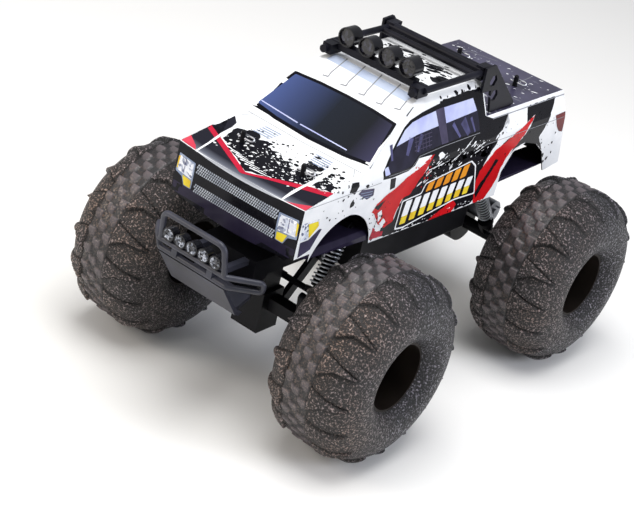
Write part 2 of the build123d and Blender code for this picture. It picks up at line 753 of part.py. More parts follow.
def knuckle(side):
    """Steering knuckle: two ears on the kingpin, a boss, the stub axle and the steering arm."""
    with BuildPart() as piece:
        for z in (ear_low_z, ear_high_z):
            block(sorted((side * kingpin_x, side * (kingpin_x + 12))), (front_axle_y - 6, front_axle_y + 6), z)
            rod_z(side * kingpin_x, front_axle_y, z, 6)
        spine = sorted((side * (kingpin_x + 7 + side_gap), side * (kingpin_x + 12)))
        block(spine, (front_axle_y - 6, front_axle_y + 6), (ear_low_z[0], ear_high_z[1]))
        rod_x(sorted((side * (kingpin_x + 12), side * (kingpin_x + 20))), front_axle_y, axle_z, 7)
        rod_x(sorted((side * (kingpin_x + 20), side * stub_end_x)), front_axle_y, axle_z, stub_r)
        block(
            sorted((side * (kingpin_x - 4), side * (kingpin_x + 4))),
            (front_axle_y, tie_y + 3),
            (ear_high_z[0], ear_high_z[1]),
        )
        rod_z(side * kingpin_x, tie_y, (ear_high_z[1], tie_z + tie_thick / 2 + 1), steer_pin_r)
        rod_z(side * kingpin_x, front_axle_y, (60, 120), kingpin_r + run_gap, Mode.SUBTRACT)
        rod_x(sorted((0, side * (kingpin_x + 7 + side_gap))), front_axle_y, axle_z, 7.2, Mode.SUBTRACT)
    return piece.part


save(knuckle(1), "knuckle_left")
save(knuckle(-1), "knuckle_right")

# ================= rear axle and drive =================
cavity_spur_r = gear_module * (spur_teeth / 2 + 1) + 1.2
cavity_pinion_r = gear_module * (pinion_teeth / 2 + 1) + 1.2
cavity_half = gear_width / 2 + 0.8


def case_half_shell(side):
    """Half of the rear gearbox with its axle tube, shock stud and half of the swing arm."""
    with BuildPart() as piece:
        outer = sorted((0, side * case_half))
        with BuildSketch(Plane.YZ.offset(outer[0])):
            with Locations((rear_axle_y, axle_z)):
                Circle(cavity_spur_r + case_wall)
            with Locations((motor_y, motor_z)):
                Circle(motor_r + 1)
            make_hull()
        extrude(amount=case_half)
        link_x((rear_axle_y - 12, axle_z + 6), (rear_pivot_y, pivot_z), 5.0, sorted((0, side * arm_half)))
        block(
            sorted((0, side * (arm_half - 5))),
            (rear_pivot_y - 8, rear_axle_y - 26),
            (axle_z, pivot_z + 8),
            mode=Mode.SUBTRACT,
        )
        tube_x = sorted((side * case_half, side * (half_track - tyre_width / 2 - 3)))
        rod_x(tube_x, rear_axle_y, axle_z, 6.5)
        cheek = side * (rear_shock_x - shock_eye_half - side_gap)
        link_x((rear_axle_y, axle_z), rear_shock_low, 4, sorted((cheek, cheek - side * 4)))
        stud = sorted((cheek, side * (rear_shock_x + shock_eye_half + 1.5)))
        rod_x(stud, *rear_shock_low, shock_stud_r)
        with BuildSketch(Plane.YZ.offset(-cavity_half)):
            with Locations((rear_axle_y, axle_z)):
                Circle(cavity_spur_r)
            with Locations((motor_y, motor_z)):
                Circle(cavity_pinion_r)
            make_hull()
        extrude(amount=2 * cavity_half, mode=Mode.SUBTRACT)
        rod_x((-100, 100), rear_axle_y, axle_z, shaft_r + run_gap, Mode.SUBTRACT)
        rod_x((-arm_half - 1, arm_half + 1), rear_pivot_y, pivot_z, pivot_pin_r + run_gap, Mode.SUBTRACT)
        rod_x((-20, 20), motor_y, motor_z, 3.0, Mode.SUBTRACT)
    return piece.part


save(case_half_shell(1), "gearbox_case_left")
save(case_half_shell(-1), "gearbox_case_right")


def gear(teeth, y, z, bore, phase):
    """Spur gear about X with straight-sided teeth and backlash."""
    pitch_r = gear_module * teeth / 2
    root_r = pitch_r - 1.15 * gear_module
    tip_r = pitch_r + 0.9 * gear_module
    pitch_angle = 2 * math.pi / teeth
    outline = []
    for tooth in range(teeth):
        middle = phase + tooth * pitch_angle
        for radius, share in ((root_r, -0.27), (tip_r, -0.11), (tip_r, 0.11), (root_r, 0.27)):
            angle = middle + share * pitch_angle
            outline.append((y + radius * math.cos(angle), z + radius * math.sin(angle)))
    with BuildPart() as piece:
        with BuildSketch(Plane.YZ.offset(-gear_width / 2)):
            Polygon(*outline, align=None)
            with Locations((y, z)):
                Circle(bore, mode=Mode.SUBTRACT)
        extrude(amount=gear_width)
    return piece.part


pinion_phase = mesh_angle + math.pi + math.pi / pinion_teeth
save(gear(spur_teeth, rear_axle_y, axle_z, shaft_r, mesh_angle), "spur_gear")
save(gear(pinion_teeth, motor_y, motor_z, 1.0, pinion_phase), "motor_pinion")

motor_face_x = case_half
with BuildPart() as drive_motor:
    rod_x((motor_face_x, motor_face_x + motor_length), motor_y, motor_z, motor_r)
    rod_x((motor_face_x + motor_length, motor_face_x + motor_length + 2.5), motor_y, motor_z, 4)
    for angle in (40, 220):
        dy = 7.5 * math.cos(math.radians(angle))
        dz = 7.5 * math.sin(math.radians(angle))
        x = motor_face_x + motor_length
        block((x, x + 3), (motor_y + dy - 1.2, motor_y + dy + 1.2), (motor_z + dz - 0.4, motor_z + dz + 0.4))
    rod_x((motor_face_x - 3, motor_face_x), motor_y, motor_z, 2.8)
    rod_x((gear_width / 2 + 0.5, motor_face_x - 3), motor_y, motor_z, 2.0)
save(drive_motor.part, "drive_motor")

shaft_end_x = half_track + rim_web_u + rim_web_thick / 2 + nut_thick + 2
with BuildPart() as rear_axle_shaft:
    rod_x((-shaft_end_x, shaft_end_x), rear_axle_y, axle_z, shaft_r)
save(rear_axle_shaft.part, "rear_axle_shaft")

# ================= wheels =================
bead_half = rim_half - 3
with BuildPart() as tyre:
    with BuildSketch(Plane.XZ):
        with BuildLine():
            half = tyre_width / 2
            crown = tyre_r - 3.5
            Spline(
                (rim_r, -bead_half - 3), (52, -half), (67, -half + 2.5), (78, -half + 11),
                (crown - 2, -half + 24), (crown, 0), (crown - 2, half - 24), (78, half - 11),
                (67, half - 2.5), (52, half), (rim_r, bead_half + 3),
            )
            Line((rim_r, bead_half + 3), (rim_r, bead_half - 4))
            Spline(
                (rim_r, bead_half - 4), (52, half - tyre_wall), (66, half - tyre_wall - 4),
                (crown - tyre_wall - 3, half - 26), (crown - tyre_wall, 0),
                (crown - tyre_wall - 3, 26 - half), (66, -half + tyre_wall + 4),
                (52, tyre_wall - half), (rim_r, 4 - bead_half),
            )
            Line((rim_r, 4 - bead_half), (rim_r, -bead_half - 3))
        make_face()
    revolve(axis=Axis.Z)
    for side in (-1, 1):
        with Locations(Location((0, 0, side * 13), (0, 0, 90 * side / lug_count))):
            with PolarLocations(tyre_r - 5, lug_count):
                Box(10, 9, 17, rotation=(side * 24, 0, 0))
    with BuildSketch(Plane.XY.offset(-tyre_width)):
        Circle(tyre_r)
    extrude(amount=2 * tyre_width, mode=Mode.INTERSECT)

with BuildPart() as rim:
    with BuildSketch(Plane.XZ):
        with BuildLine():
            Polyline(
                (rim_r - rim_wall, -rim_half), (rim_r, -rim_half), (rim_r, rim_half),
                (rim_r - rim_wall, rim_half), (rim_r - rim_wall, rim_web_u + rim_web_thick / 2),
                (hub_r, rim_web_u + rim_web_thick / 2), (hub_r, rim_web_u + rim_web_thick / 2 + 2),
                (stub_r + run_gap, rim_web_u + rim_web_thick / 2 + 2), (stub_r + run_gap, -24),
                (hub_r, -24), (hub_r, rim_web_u - rim_web_thick / 2),
                (rim_r - rim_wall, rim_web_u - rim_web_thick / 2), (rim_r - rim_wall, -rim_half),
            )
        make_face()
    revolve(axis=Axis.Z)
    with BuildSketch(Plane.XY.offset(rim_web_u - rim_web_thick)):
        with PolarLocations(20, 6):
            Circle(5.5)
    extrude(amount=2 * rim_web_thick, mode=Mode.SUBTRACT)
    with PolarLocations(14, 6, start_angle=30):
        with Locations((0, 0, rim_web_u + rim_web_thick / 2 + 1)):
            Box(13, 2.4, 2)

for side_name, side in (("left", 1), ("right", -1)):
    for end_name, y in (("front", front_axle_y), ("rear", rear_axle_y)):
        place = Location((side * half_track, y, axle_z), (0, 90 * side, 0))
        save(tyre.part.moved(place), f"tyre_{end_name}_{side_name}")
        save(rim.part.moved(place), f"rim_{end_name}_{side_name}")

nut_x = half_track + rim_web_u + rim_web_thick / 2 + 2 + side_gap


def wheel_nut(side, y, gap):
    """Lock nut on a wheel's shaft."""
    with BuildPart() as piece:
        x = side * (nut_x - side_gap + gap)
        with BuildSketch(Plane.YZ.offset(min(x, x + side * nut_thick))):
            with Locations((y, axle_z)):
                RegularPolygon(nut_r, 6)
                Circle(stub_r, mode=Mode.SUBTRACT)
        extrude(amount=nut_thick)
    return piece.part


save(wheel_nut(1, front_axle_y, side_gap), "wheel_nut_front_left")
save(wheel_nut(-1, front_axle_y, side_gap), "wheel_nut_front_right")
save(Compound(children=[wheel_nut(1, rear_axle_y, 0), wheel_nut(-1, rear_axle_y, 0)]), "rear_wheel_nuts")


# ================= shocks =================
def shock(name, x, top, low):
    """Coil-over shock: upper can with its eye, lower rod with an open eye and cup, and the coil."""
    length = math.dist(top, low)
    up = Vector(0, (top[0] - low[0]) / length, (top[1] - low[1]) / length)
    base = Plane(origin=(x, *low), x_dir=(1, 0, 0), z_dir=up)
    can_low = length * 0.52
    cup_z = 12.0
    cap_z = length - 10.0
    with BuildPart(base) as can:
        can_high = length - shock_stud_r - 1
        with Locations((0, 0, (can_low + can_high) / 2)):
            Cylinder(shock_can_r, can_high - can_low)
        with Locations((0, 0, cap_z + 1.5)):
            Cylinder(spring_r + 1.2, 3)
        with Locations((0, 0, length)):
            Cylinder(shock_eye_r, 2 * shock_eye_half, rotation=(0, 90, 0))
            Cylinder(shock_stud_r + run_gap, 20, rotation=(0, 90, 0), mode=Mode.SUBTRACT)
        with Locations((0, 0, can_low + 10)):
            Cylinder(shock_rod_r + 0.08, 30, mode=Mode.SUBTRACT)
    save(can.part, f"{name}_can")
    with BuildPart(base) as rod:
        with Locations((0, 0, (shock_eye_r + can_low + 8) / 2)):
            Cylinder(shock_rod_r, can_low + 8 - shock_eye_r)
        with Locations((0, 0, cup_z - 1.5)):
            Cylinder(spring_r + 1.2, 3)
        with Locations((0, 0, (shock_eye_r + cup_z) / 2 - 1)):
            Cylinder(3.2, cup_z - shock_eye_r)
        with Locations((0, 0, 0)):
            Cylinder(shock_eye_r, 2 * shock_eye_half, rotation=(0, 90, 0))
            Cylinder(shock_stud_r + eye_gap, 20, rotation=(0, 90, 0), mode=Mode.SUBTRACT)
    save(rod.part, f"{name}_rod")
    coil_height = cap_z - cup_z - 2 * spring_wire_r - 0.3
    start = base.from_local_coords((0, 0, cup_z + spring_wire_r + 0.15))
    place = Plane(origin=start, x_dir=(1, 0, 0), z_dir=up).location
    with BuildPart() as coil:
        with BuildLine() as route:
            Helix(coil_height / spring_turns, coil_height, spring_r)
        with BuildSketch(Plane(origin=route.line @ 0, z_dir=route.line % 0)):
            Circle(spring_wire_r)
        sweep(path=route.line)
    save(coil.part.moved(place), f"{name}_spring")


shock("shock_front_left", front_shock_x, front_shock_top, front_shock_low)
shock("shock_front_right", -front_shock_x, front_shock_top, front_shock_low)
shock("shock_rear_left", rear_shock_x, rear_shock_top, rear_shock_low)
shock("shock_rear_right", -rear_shock_x, rear_shock_top, rear_shock_low)

for name, y in (("front_pivot_pin", front_pivot_y), ("rear_pivot_pin", rear_pivot_y)):
    with BuildPart() as pivot_pin:
        rod_x((-ear_half - ear_thick, ear_half + ear_thick), y, pivot_z, pivot_pin_r)
        rod_x((ear_half + ear_thick, ear_half + ear_thick + 2), y, pivot_z, pivot_pin_r + 1.5)
    save(pivot_pin.part, name)
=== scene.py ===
"""Looks of a toy remote control monster truck: printed pickup shell, grained balloon tyres,
moulded chassis, roof rack with work lamps and a tube bumper."""
import json
import math
import random

import bmesh
import bpy
import numpy as np
from mathutils import Matrix, Vector
from mathutils.bvhtree import BVHTree


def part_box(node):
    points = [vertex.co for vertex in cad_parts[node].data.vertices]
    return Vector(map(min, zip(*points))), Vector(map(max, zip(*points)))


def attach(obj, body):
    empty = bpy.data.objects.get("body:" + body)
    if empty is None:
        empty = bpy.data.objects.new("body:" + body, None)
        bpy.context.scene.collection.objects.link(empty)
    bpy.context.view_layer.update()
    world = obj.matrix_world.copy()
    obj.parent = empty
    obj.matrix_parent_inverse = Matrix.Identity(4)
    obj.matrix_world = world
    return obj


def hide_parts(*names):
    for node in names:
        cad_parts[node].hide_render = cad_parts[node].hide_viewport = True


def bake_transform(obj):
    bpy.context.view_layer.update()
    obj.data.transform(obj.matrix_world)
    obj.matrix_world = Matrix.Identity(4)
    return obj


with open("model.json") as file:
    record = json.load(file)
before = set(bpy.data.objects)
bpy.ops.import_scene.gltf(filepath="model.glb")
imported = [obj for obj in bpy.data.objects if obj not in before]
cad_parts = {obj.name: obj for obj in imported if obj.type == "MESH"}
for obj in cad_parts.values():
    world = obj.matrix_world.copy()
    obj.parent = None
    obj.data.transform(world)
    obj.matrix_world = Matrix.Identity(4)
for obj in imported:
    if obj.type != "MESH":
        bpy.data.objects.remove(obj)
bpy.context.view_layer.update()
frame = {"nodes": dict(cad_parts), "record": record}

MM = 0.001


def centre(node):
    low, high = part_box(node)
    return (low + high) / 2


FRONT_LEFT = centre("tyre_front_left")
REAR_LEFT = centre("tyre_rear_left")
FRONT_Y = FRONT_LEFT.y / MM
REAR_Y = REAR_LEFT.y / MM
TYRE_R = 90.0


# ---------------- colours and nodes ----------------
def tint(code):
    """Linear RGBA of an sRGB hex colour."""
    parts = [int(code[i : i + 2], 16) / 255 for i in (1, 3, 5)]
    return tuple(p / 12.92 if p <= 0.04045 else ((p + 0.055) / 1.055) ** 2.4 for p in parts) + (1.0,)


def add(tree, kind, inputs=None, **settings):
    """Adds a node with its settings; an input is a number, a colour or another node's socket, and
    stops are a colour ramp's places and colours."""
    made = tree.nodes.new(kind)
    for at, colour in settings.pop("stops", ()):
        used = made.color_ramp.elements
        stop = used.new(at) if at not in (0.0, 1.0) else used[0 if at == 0.0 else len(used) - 1]
        stop.color = tint(colour)
    for name, value in settings.items():
        setattr(made, name, value)
    for key, value in (inputs or {}).items():
        if isinstance(value, bpy.types.NodeSocket):
            tree.links.new(value, made.inputs[key])
        else:
            made.inputs[key].default_value = value
    return made


def blank(name, roughness=0.5, metallic=0.0, ior=1.5, coat=0.0, specular=0.5):
    """New material with its Principled shader and Object coordinates in metres."""
    made = bpy.data.materials.new(name)
    made.use_nodes = True
    tree = made.node_tree
    shader = tree.nodes["Principled BSDF"]
    shader.inputs["Roughness"].default_value = roughness
    shader.inputs["Metallic"].default_value = metallic
    shader.inputs["IOR"].default_value = ior
    shader.inputs["Coat Weight"].default_value = coat
    shader.inputs["Coat Roughness"].default_value = 0.06
    shader.inputs["Specular IOR Level"].default_value = specular
    place = add(tree, "ShaderNodeTexCoord").outputs["Object"]
    return made, tree, shader, place


def moulded(name, dark, light, roughness, grain_mm=0.8, bump=0.15, coat=0.0, specular=0.14):
    """Injection-moulded plastic: fine spark-eroded grain, with slow colour drift from handling."""
    made, tree, shader, place = blank(name, roughness, coat=coat, specular=specular)
    drift = add(tree, "ShaderNodeTexNoise", {"Vector": place, "Scale": 45.0, "Detail": 3.0})
    stops = [(0.0, dark), (0.3, dark), (0.75, light), (1.0, light)]
    colour = add(tree, "ShaderNodeValToRGB", {"Fac": drift.outputs["Fac"]}, stops=stops).outputs["Color"]
    tree.links.new(colour, shader.inputs["Base Color"])
    grain = add(tree, "ShaderNodeTexNoise", {"Vector": place, "Scale": 1000 / grain_mm, "Detail": 2.0})
    rise = add(
        tree,
        "ShaderNodeBump",
        {"Height": grain.outputs["Fac"], "Strength": bump, "Distance": 0.0002},
    )
    tree.links.new(rise.outputs["Normal"], shader.inputs["Normal"])
    shine = add(
        tree,
        "ShaderNodeMapRange",
        {"Value": drift.outputs["Fac"], "To Min": roughness - 0.06, "To Max": roughness + 0.08},
    )
    tree.links.new(shine.outputs["Result"], shader.inputs["Roughness"])
    return made


def ink(name, colour, second=None, roughness=0.22):
    """Ink printed under clear polycarbonate: smooth and glossy, with a faint drift in density."""
    made, tree, shader, place = blank(name, roughness, coat=0.03, specular=0.12)
    drift = add(tree, "ShaderNodeTexNoise", {"Vector": place, "Scale": 60.0, "Detail": 4.0})
    stops = [(0.0, colour), (0.35, colour), (0.7, second or colour), (1.0, second or colour)]
    shade = add(tree, "ShaderNodeValToRGB", {"Fac": drift.outputs["Fac"]}, stops=stops).outputs["Color"]
    tree.links.new(shade, shader.inputs["Base Color"])
    return made


def metal(name, colour, roughness, line_mm=0.4):
    """Drawn or turned steel: fine lines that spread the highlight."""
    made, tree, shader, place = blank(name, roughness, metallic=1.0)
    lines = add(tree, "ShaderNodeTexNoise", {"Vector": place, "Scale": 1000 / line_mm, "Detail": 2.0})
    shine = add(
        tree,
        "ShaderNodeMapRange",
        {"Value": lines.outputs["Fac"], "To Min": roughness * 0.7, "To Max": roughness * 1.4},
    )
    tree.links.new(shine.outputs["Result"], shader.inputs["Roughness"])
    shader.inputs["Base Color"].default_value = tint(colour)
    return made


def tyre_rubber():
    """PVC tyre skin: leathery grain about 2 mm across, its tops painted pale as highlights and glints and its
    pits painted dark as shade, leaf crests painted light and grooves painted dark as shade, the chequered
    wedges of the centre band smooth with painted facet light that grows as they rise, and brown dust
    caught in the grain ahead."""
    made, tree, shader, place = blank("grained_tyre_pvc", 0.45, specular=0.6)
    grain = add(
        tree, "ShaderNodeTexNoise", {"Vector": place, "Scale": 560.0, "Detail": 2.5, "Roughness": 0.6}
    )
    # fleck drives the bump and gloss, and also paints the grain tops pale as highlight and the pits dark as
    # shade
    fleck = add(
        tree, "ShaderNodeMapRange", {"Value": grain.outputs["Fac"], "From Min": 0.44, "From Max": 0.64}
    ).outputs["Result"]
    edge = add(tree, "ShaderNodeAttribute", attribute_name="edge").outputs["Fac"]
    # painted light along the leaves: the edge value turns crests pale as painted highlight and grooves dark
    # as painted shade
    crest_groove_painted_light = add(tree, "ShaderNodeMath", {0: edge, 1: -1.4, 2: 0.7}, operation="MULTIPLY_ADD")
    tone = add(
        tree, "ShaderNodeMath", {0: fleck, 1: crest_groove_painted_light.outputs[0]}, operation="ADD", use_clamp=True
    ).outputs[0]
    wedge = add(tree, "ShaderNodeAttribute", attribute_name="wedge").outputs["Fac"]
    in_band = add(tree, "ShaderNodeMapRange", {"Value": wedge, "From Max": 0.3}).outputs["Result"]
    depth = add(tree, "ShaderNodeMapRange", {"Value": in_band, "To Min": 1.0, "To Max": 0.1})
    rise = add(
        tree, "ShaderNodeBump", {"Height": fleck, "Strength": depth.outputs["Result"], "Distance": 0.0012}
    )
    tree.links.new(rise.outputs["Normal"], shader.inputs["Normal"])
    # grain and leaf edges, from painted shade (dark) to painted highlight (pale)
    stops = [(0.0, "#09090b"), (0.5, "#17171a"), (0.85, "#57535b"), (1.0, "#8a858e")]
    grain_with_painted_light = add(tree, "ShaderNodeValToRGB", {"Fac": tone}, stops=stops).outputs["Color"]
    # chequer wedges painted paler as they rise: painted facet light, not a second rubber colour
    stops = [(0.0, "#161518"), (0.3, "#161518"), (0.5, "#1b1a1d"), (0.62, "#2b282b"), (1.0, "#5b5356")]
    chequer_painted_facet_light = add(tree, "ShaderNodeValToRGB", {"Fac": wedge}, stops=stops).outputs["Color"]
    skin = add(tree, "ShaderNodeMix", {"Factor": in_band, "A": grain_with_painted_light, "B": chequer_painted_facet_light}, data_type="RGBA")
    # brown dust that still carries the painted grain highlights and groove shade through the tone
    stops = [(0.0, "#251e1a"), (0.5, "#483a31"), (1.0, "#ad8a6d")]
    dust_and_painted_grain_light = add(tree, "ShaderNodeValToRGB", {"Fac": tone}, stops=stops).outputs["Color"]
    ahead = add(tree, "ShaderNodeAttribute", attribute_name="dust").outputs["Fac"]
    drift = add(tree, "ShaderNodeTexNoise", {"Vector": place, "Scale": 16.0, "Detail": 4.0})
    spread = add(
        tree,
        "ShaderNodeMapRange",
        {"Value": drift.outputs["Fac"], "From Min": 0.3, "From Max": 0.62, "To Min": 0.25, "To Max": 1.0},
    )
    dust = add(tree, "ShaderNodeMath", {0: ahead, 1: spread.outputs["Result"]}, operation="MULTIPLY")
    colour = add(
        tree,
        "ShaderNodeMix",
        {"Factor": dust.outputs[0], "A": skin.outputs["Result"], "B": dust_and_painted_grain_light},
        data_type="RGBA",
    )
    tree.links.new(colour.outputs["Result"], shader.inputs["Base Color"])
    shine = add(tree, "ShaderNodeMapRange", {"Value": fleck, "To Min": 0.65, "To Max": 0.3})
    tree.links.new(shine.outputs["Result"], shader.inputs["Roughness"])
    return made


def faceted(name, cell_mm, stops, roughness=0.15):
    """Lamp face of many small facets, each with its own brightness."""
    made, tree, shader, place = blank(name, roughness, coat=0.2)
    cells = add(tree, "ShaderNodeTexVoronoi", {"Vector": place, "Scale": 1000 / cell_mm})
    value = add(tree, "ShaderNodeSeparateColor", {0: cells.outputs["Color"]})
    colour = add(tree, "ShaderNodeValToRGB", {"Fac": value.outputs[0]}, stops=stops).outputs["Color"]
    tree.links.new(colour, shader.inputs["Base Color"])
    rise = add(
        tree, "ShaderNodeBump", {"Height": cells.outputs["Distance"], "Strength": 0.6, "Distance": 0.0006}
    )
    tree.links.new(rise.outputs["Normal"], shader.inputs["Normal"])
    return made


def windscreen_print():
    """Printed screen: blue at the upper right corner, near black across, lavender at the low left."""
    made, tree, shader, place = blank("screen_print", 0.12, coat=0.25, specular=0.3)
    axis = add(tree, "ShaderNodeSeparateXYZ", {0: place})
    across = add(
        tree, "ShaderNodeMapRange", {"Value": axis.outputs["X"], "From Min": -0.068, "From Max": 0.068}
    )
    stops = [(0.0, "#46568a"), (0.22, "#364269"), (0.5, "#171c26"), (0.78, "#14161c"), (1.0, "#3a3853")]
    colour = add(tree, "ShaderNodeValToRGB", {"Fac": across.outputs["Result"]}, stops=stops).outputs["Color"]
    tree.links.new(colour, shader.inputs["Base Color"])
    return made


def hood_navy():
    """Navy ink with a painted reflection: pale grey along the hood's front edge, fading into navy behind it.
    """
    made, tree, shader, place = blank("hood_navy_ink", 0.2, coat=0.05, specular=0.15)
    axis = add(tree, "ShaderNodeSeparateXYZ", {0: place})
    square = add(tree, "ShaderNodeMath", {0: axis.outputs["X"], 1: axis.outputs["X"]}, operation="MULTIPLY")
    bow = add(tree, "ShaderNodeMath", {0: square.outputs[0], 1: -0.82}, operation="MULTIPLY")
    back = add(tree, "ShaderNodeMath", {0: axis.outputs["Y"], 1: bow.outputs[0]}, operation="ADD")
    front = (FRONT_Y - 71.5) * MM
    # the pale grey band at the front lip is a painted reflection, not ink
    lip_painted_reflection = add(
        tree,
        "ShaderNodeMapRange",
        {"Value": back.outputs[0], "From Min": front, "From Max": front + 0.012},
    )
    stops = [(0.0, "#b9bcc2"), (0.35, "#5c5f6a"), (1.0, "#1a1a24")]
    colour = add(tree, "ShaderNodeValToRGB", {"Fac": lip_painted_reflection.outputs["Result"]}, stops=stops).outputs["Color"]
    tree.links.new(colour, shader.inputs["Base Color"])
    return made


def bed_ink():
    """Dark plum ink of the bed cover, drawn over with fine pale scratches."""
    made, tree, shader, place = blank("bed_plum_ink", 0.3, coat=0.1, specular=0.3)
    turn = add(tree, "ShaderNodeMapping", {"Vector": place, "Rotation": (0, 0, 0.6), "Scale": (1, 9, 1)})
    marks = add(tree, "ShaderNodeTexNoise", {"Vector": turn.outputs[0], "Scale": 60.0, "Detail": 6.0})
    drift = add(tree, "ShaderNodeTexNoise", {"Vector": place, "Scale": 22.0, "Detail": 3.0})
    stops = [(0.0, "#2f2c3f"), (0.3, "#2f2c3f"), (0.7, "#4b485f"), (1.0, "#4b485f")]
    base = add(tree, "ShaderNodeValToRGB", {"Fac": drift.outputs["Fac"]}, stops=stops).outputs["Color"]
    stops = [(0.0, "#000000"), (0.69, "#000000"), (0.72, "#ffffff"), (1.0, "#ffffff")]
    line = add(tree, "ShaderNodeValToRGB", {"Fac": marks.outputs["Fac"]}, stops=stops).outputs["Color"]
    colour = add(tree, "ShaderNodeMix", {"Factor": line, "A": base, "B": tint("#c9cbd6")}, data_type="RGBA")
    tree.links.new(colour.outputs["Result"], shader.inputs["Base Color"])
    return made


# clean bright base of the shell
WHITE = ink("white_ink", "#f1f2f3", "#e6e8ea")
# deep splashes and the nose, barely glossy
BLACK = ink("black_ink", "#0c0c12", "#121219")
# dark navy hood, painted pale at its lip as a reflection
NAVY = hood_navy()
# the strong side sweeps
RED = ink("red_ink", "#c9151c", "#b41219")
# cooler red of the chevron and sill
CRIMSON = ink("crimson_ink", "#b81d38", "#aa1a32")
# lighter red at the hood corners
ROSE = ink("rose_ink", "#cc4456", "#c03a4c")
# thin panel lines
GREY = ink("panel_line_grey", "#8d8f94")
# sky lying in the glass
PALE = ink("pale_reflection_ink", "#c3c9e6", "#a9aede")
# dim shapes behind the glass
LAVENDER = ink("lavender_ink", "#5a5a86", "#3c3b57")
# soft plum between the panes
PILLAR = ink("pillar_plum_ink", "#4d4860", "#3a364a")
# depth of the lower glass
GLASS_DARK = ink("dark_glass_ink", "#23222f", "#2b2a3c", 0.12)
# cool band ahead of the roof lamps
SKY = ink("roof_band_ink", "#b4c0d8", "#c6d0e2")
# printed metal of vents and lamp frames
STEEL_BLUE = ink("vent_blue_ink", "#7d8ba8", "#9aa7bf")
# turn lamps, warm and even
AMBER = ink("amber_ink", "#ecd83e", "#dcae2a", 0.18)
# warm blocks of the badge
ORANGE = ink("orange_ink", "#e59a2c", "#d98420")
# bright wire of the nose mesh
MESH_SILVER = ink("grille_silver_ink", "#c3cad4", "#98a0ae", 0.2)
# unlit tail lamps
MAROON = ink("tail_lamp_ink", "#5a1f22", "#7c2a2c", 0.15)
# broken sparkle of a printed reflector
HEADLAMP = faceted(
    "printed_headlamp_facets", 2.4,
    [(0.0, "#6f7690"), (0.1, "#6f7690"), (0.3, "#c9d1e4"), (0.55, "#f5f7fb"), (0.9, "#dfe4f0"),
     (1.0, "#dfe4f0")],
)
# beaded bumper lamp lenses, with painted glints: random facets painted bright silver
LED = faceted(
    "led_cluster_lens", 1.9,
    [(0.0, "#15161a"), (0.15, "#15161a"), (0.45, "#3c3f48"), (0.7, "#8d93a0"), (0.95, "#c9cdd8"),
     (1.0, "#a3a8b4")],
)
# dark faceted work lamp faces
ROOF_LENS = faceted(
    "roof_lamp_lens", 3.0,
    [(0.0, "#08080b"), (0.2, "#08080b"), (0.6, "#15151c"), (0.95, "#3a3b48"), (1.0, "#3a3b48")],
)
# plum strip under the nose
FACE_PLUM = ink("face_plum_ink", "#2a2539", "#221e30")
# blue to near black sweep across the screen
SCREEN = windscreen_print()
# bed cover with pale scratches
PLUM = bed_ink()
# inside of the shell painted near black as shade, for the shaded arches and underside
INNER_SKIN_SHADE = moulded("unprinted_inner_skin", "#141418", "#1c1c21", 0.55)
# plain satin black of the chassis
BLACK_ABS = moulded("moulded_black_abs", "#0d0d10", "#16161a", 0.42)
# slightly bluer black of the rack
RACK_ABS = moulded("rack_black_abs", "#101016", "#1b1b24", 0.38)
# greyer, grained bumper bars
BUMPER_ABS = moulded("bumper_charcoal_abs", "#26272f", "#3c3d49", 0.36, bump=0.22, specular=0.4)
# glossy lamp housings
LAMP_ABS = moulded("lamp_gloss_abs", "#0c0c10", "#15151b", 0.22, bump=0.05, coat=0.4)
# brownish black, as if dusty
RIM_ABS = moulded("rim_black_abs", "#171310", "#221c18", 0.45)
# speckled leathery rubber
TYRE = tyre_rubber()
# bright wire rings
SPRING = metal("spring_wire", "#d3d6dc", 0.3)
# pale plated pins and nuts
STEEL = metal("zinc_plated_steel", "#b7b9bf", 0.3)
# duller rolled motor case
CAN = metal("motor_can_steel", "#8f9298", 0.35)
# milky gear teeth
NYLON = moulded("gear_nylon", "#d8d5cb", "#e6e3da", 0.45)
# green lacquer
BOARD = moulded("board_lacquer", "#16452a", "#1d5834", 0.3)
# blue shrink film
WRAP = moulded("battery_shrink_wrap", "#23559a", "#2f68b4", 0.25)

# ---------------- finishes of the CAD nodes that stay ----------------
BY_SLOT = {
    "black_plastic": BLACK_ABS,
    "rack_plastic": RACK_ABS,
    "bumper_plastic": BUMPER_ABS,
    "lamp_plastic": LAMP_ABS,
    "lamp_face": ROOF_LENS,
    "led_face": LED,
    "tyre_rubber": TYRE,
    "rim_plastic": RIM_ABS,
    "spring_steel": SPRING,
    "steel": STEEL,
    "motor_can": CAN,
    "gear_nylon": NYLON,
    "board": BOARD,
    "battery_wrap": WRAP,
    "shell_print": WHITE,
}
for part in frame["record"]["subparts"]:
    mesh = frame["nodes"][part["node"]].data
    mesh.materials.clear()
    mesh.materials.append(BY_SLOT[part["material_slot"]])


def finish_piece(name, bm, materials, body, nodes=(), smooth=True):
    """Mesh object at the origin that rides on a body, if one is named, and may stand for CAD nodes."""
    mesh = bpy.data.meshes.new(name)
    bm.to_mesh(mesh)
    bm.free()
    for material in materials:
        mesh.materials.append(material)
    for face in mesh.polygons:
        face.use_smooth = smooth
    piece = bpy.data.objects.new(name, mesh)
    bpy.context.scene.collection.objects.link(piece)
    if body:
        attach(piece, body)
    if nodes:
        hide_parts(*nodes)
    return piece


# ---------------- tyres ----------------
PITCHES = 16                  # leaf lugs round one side
BAND = 13.6                   # half width of the chequered band
BAND_SHIFT = -5.0             # the band sits this far from the tyre's middle
LEAF = 37.0                   # how far a leaf reaches from the band, along the skin
SECTION = [(0, 86.6), (14, 86.6), (27, 84.6), (38.5, 77), (46, 65), (48, 51), (44.4, 41.5), (39.5, 36),
           (35.6, 33.2), (30, 32.6)]


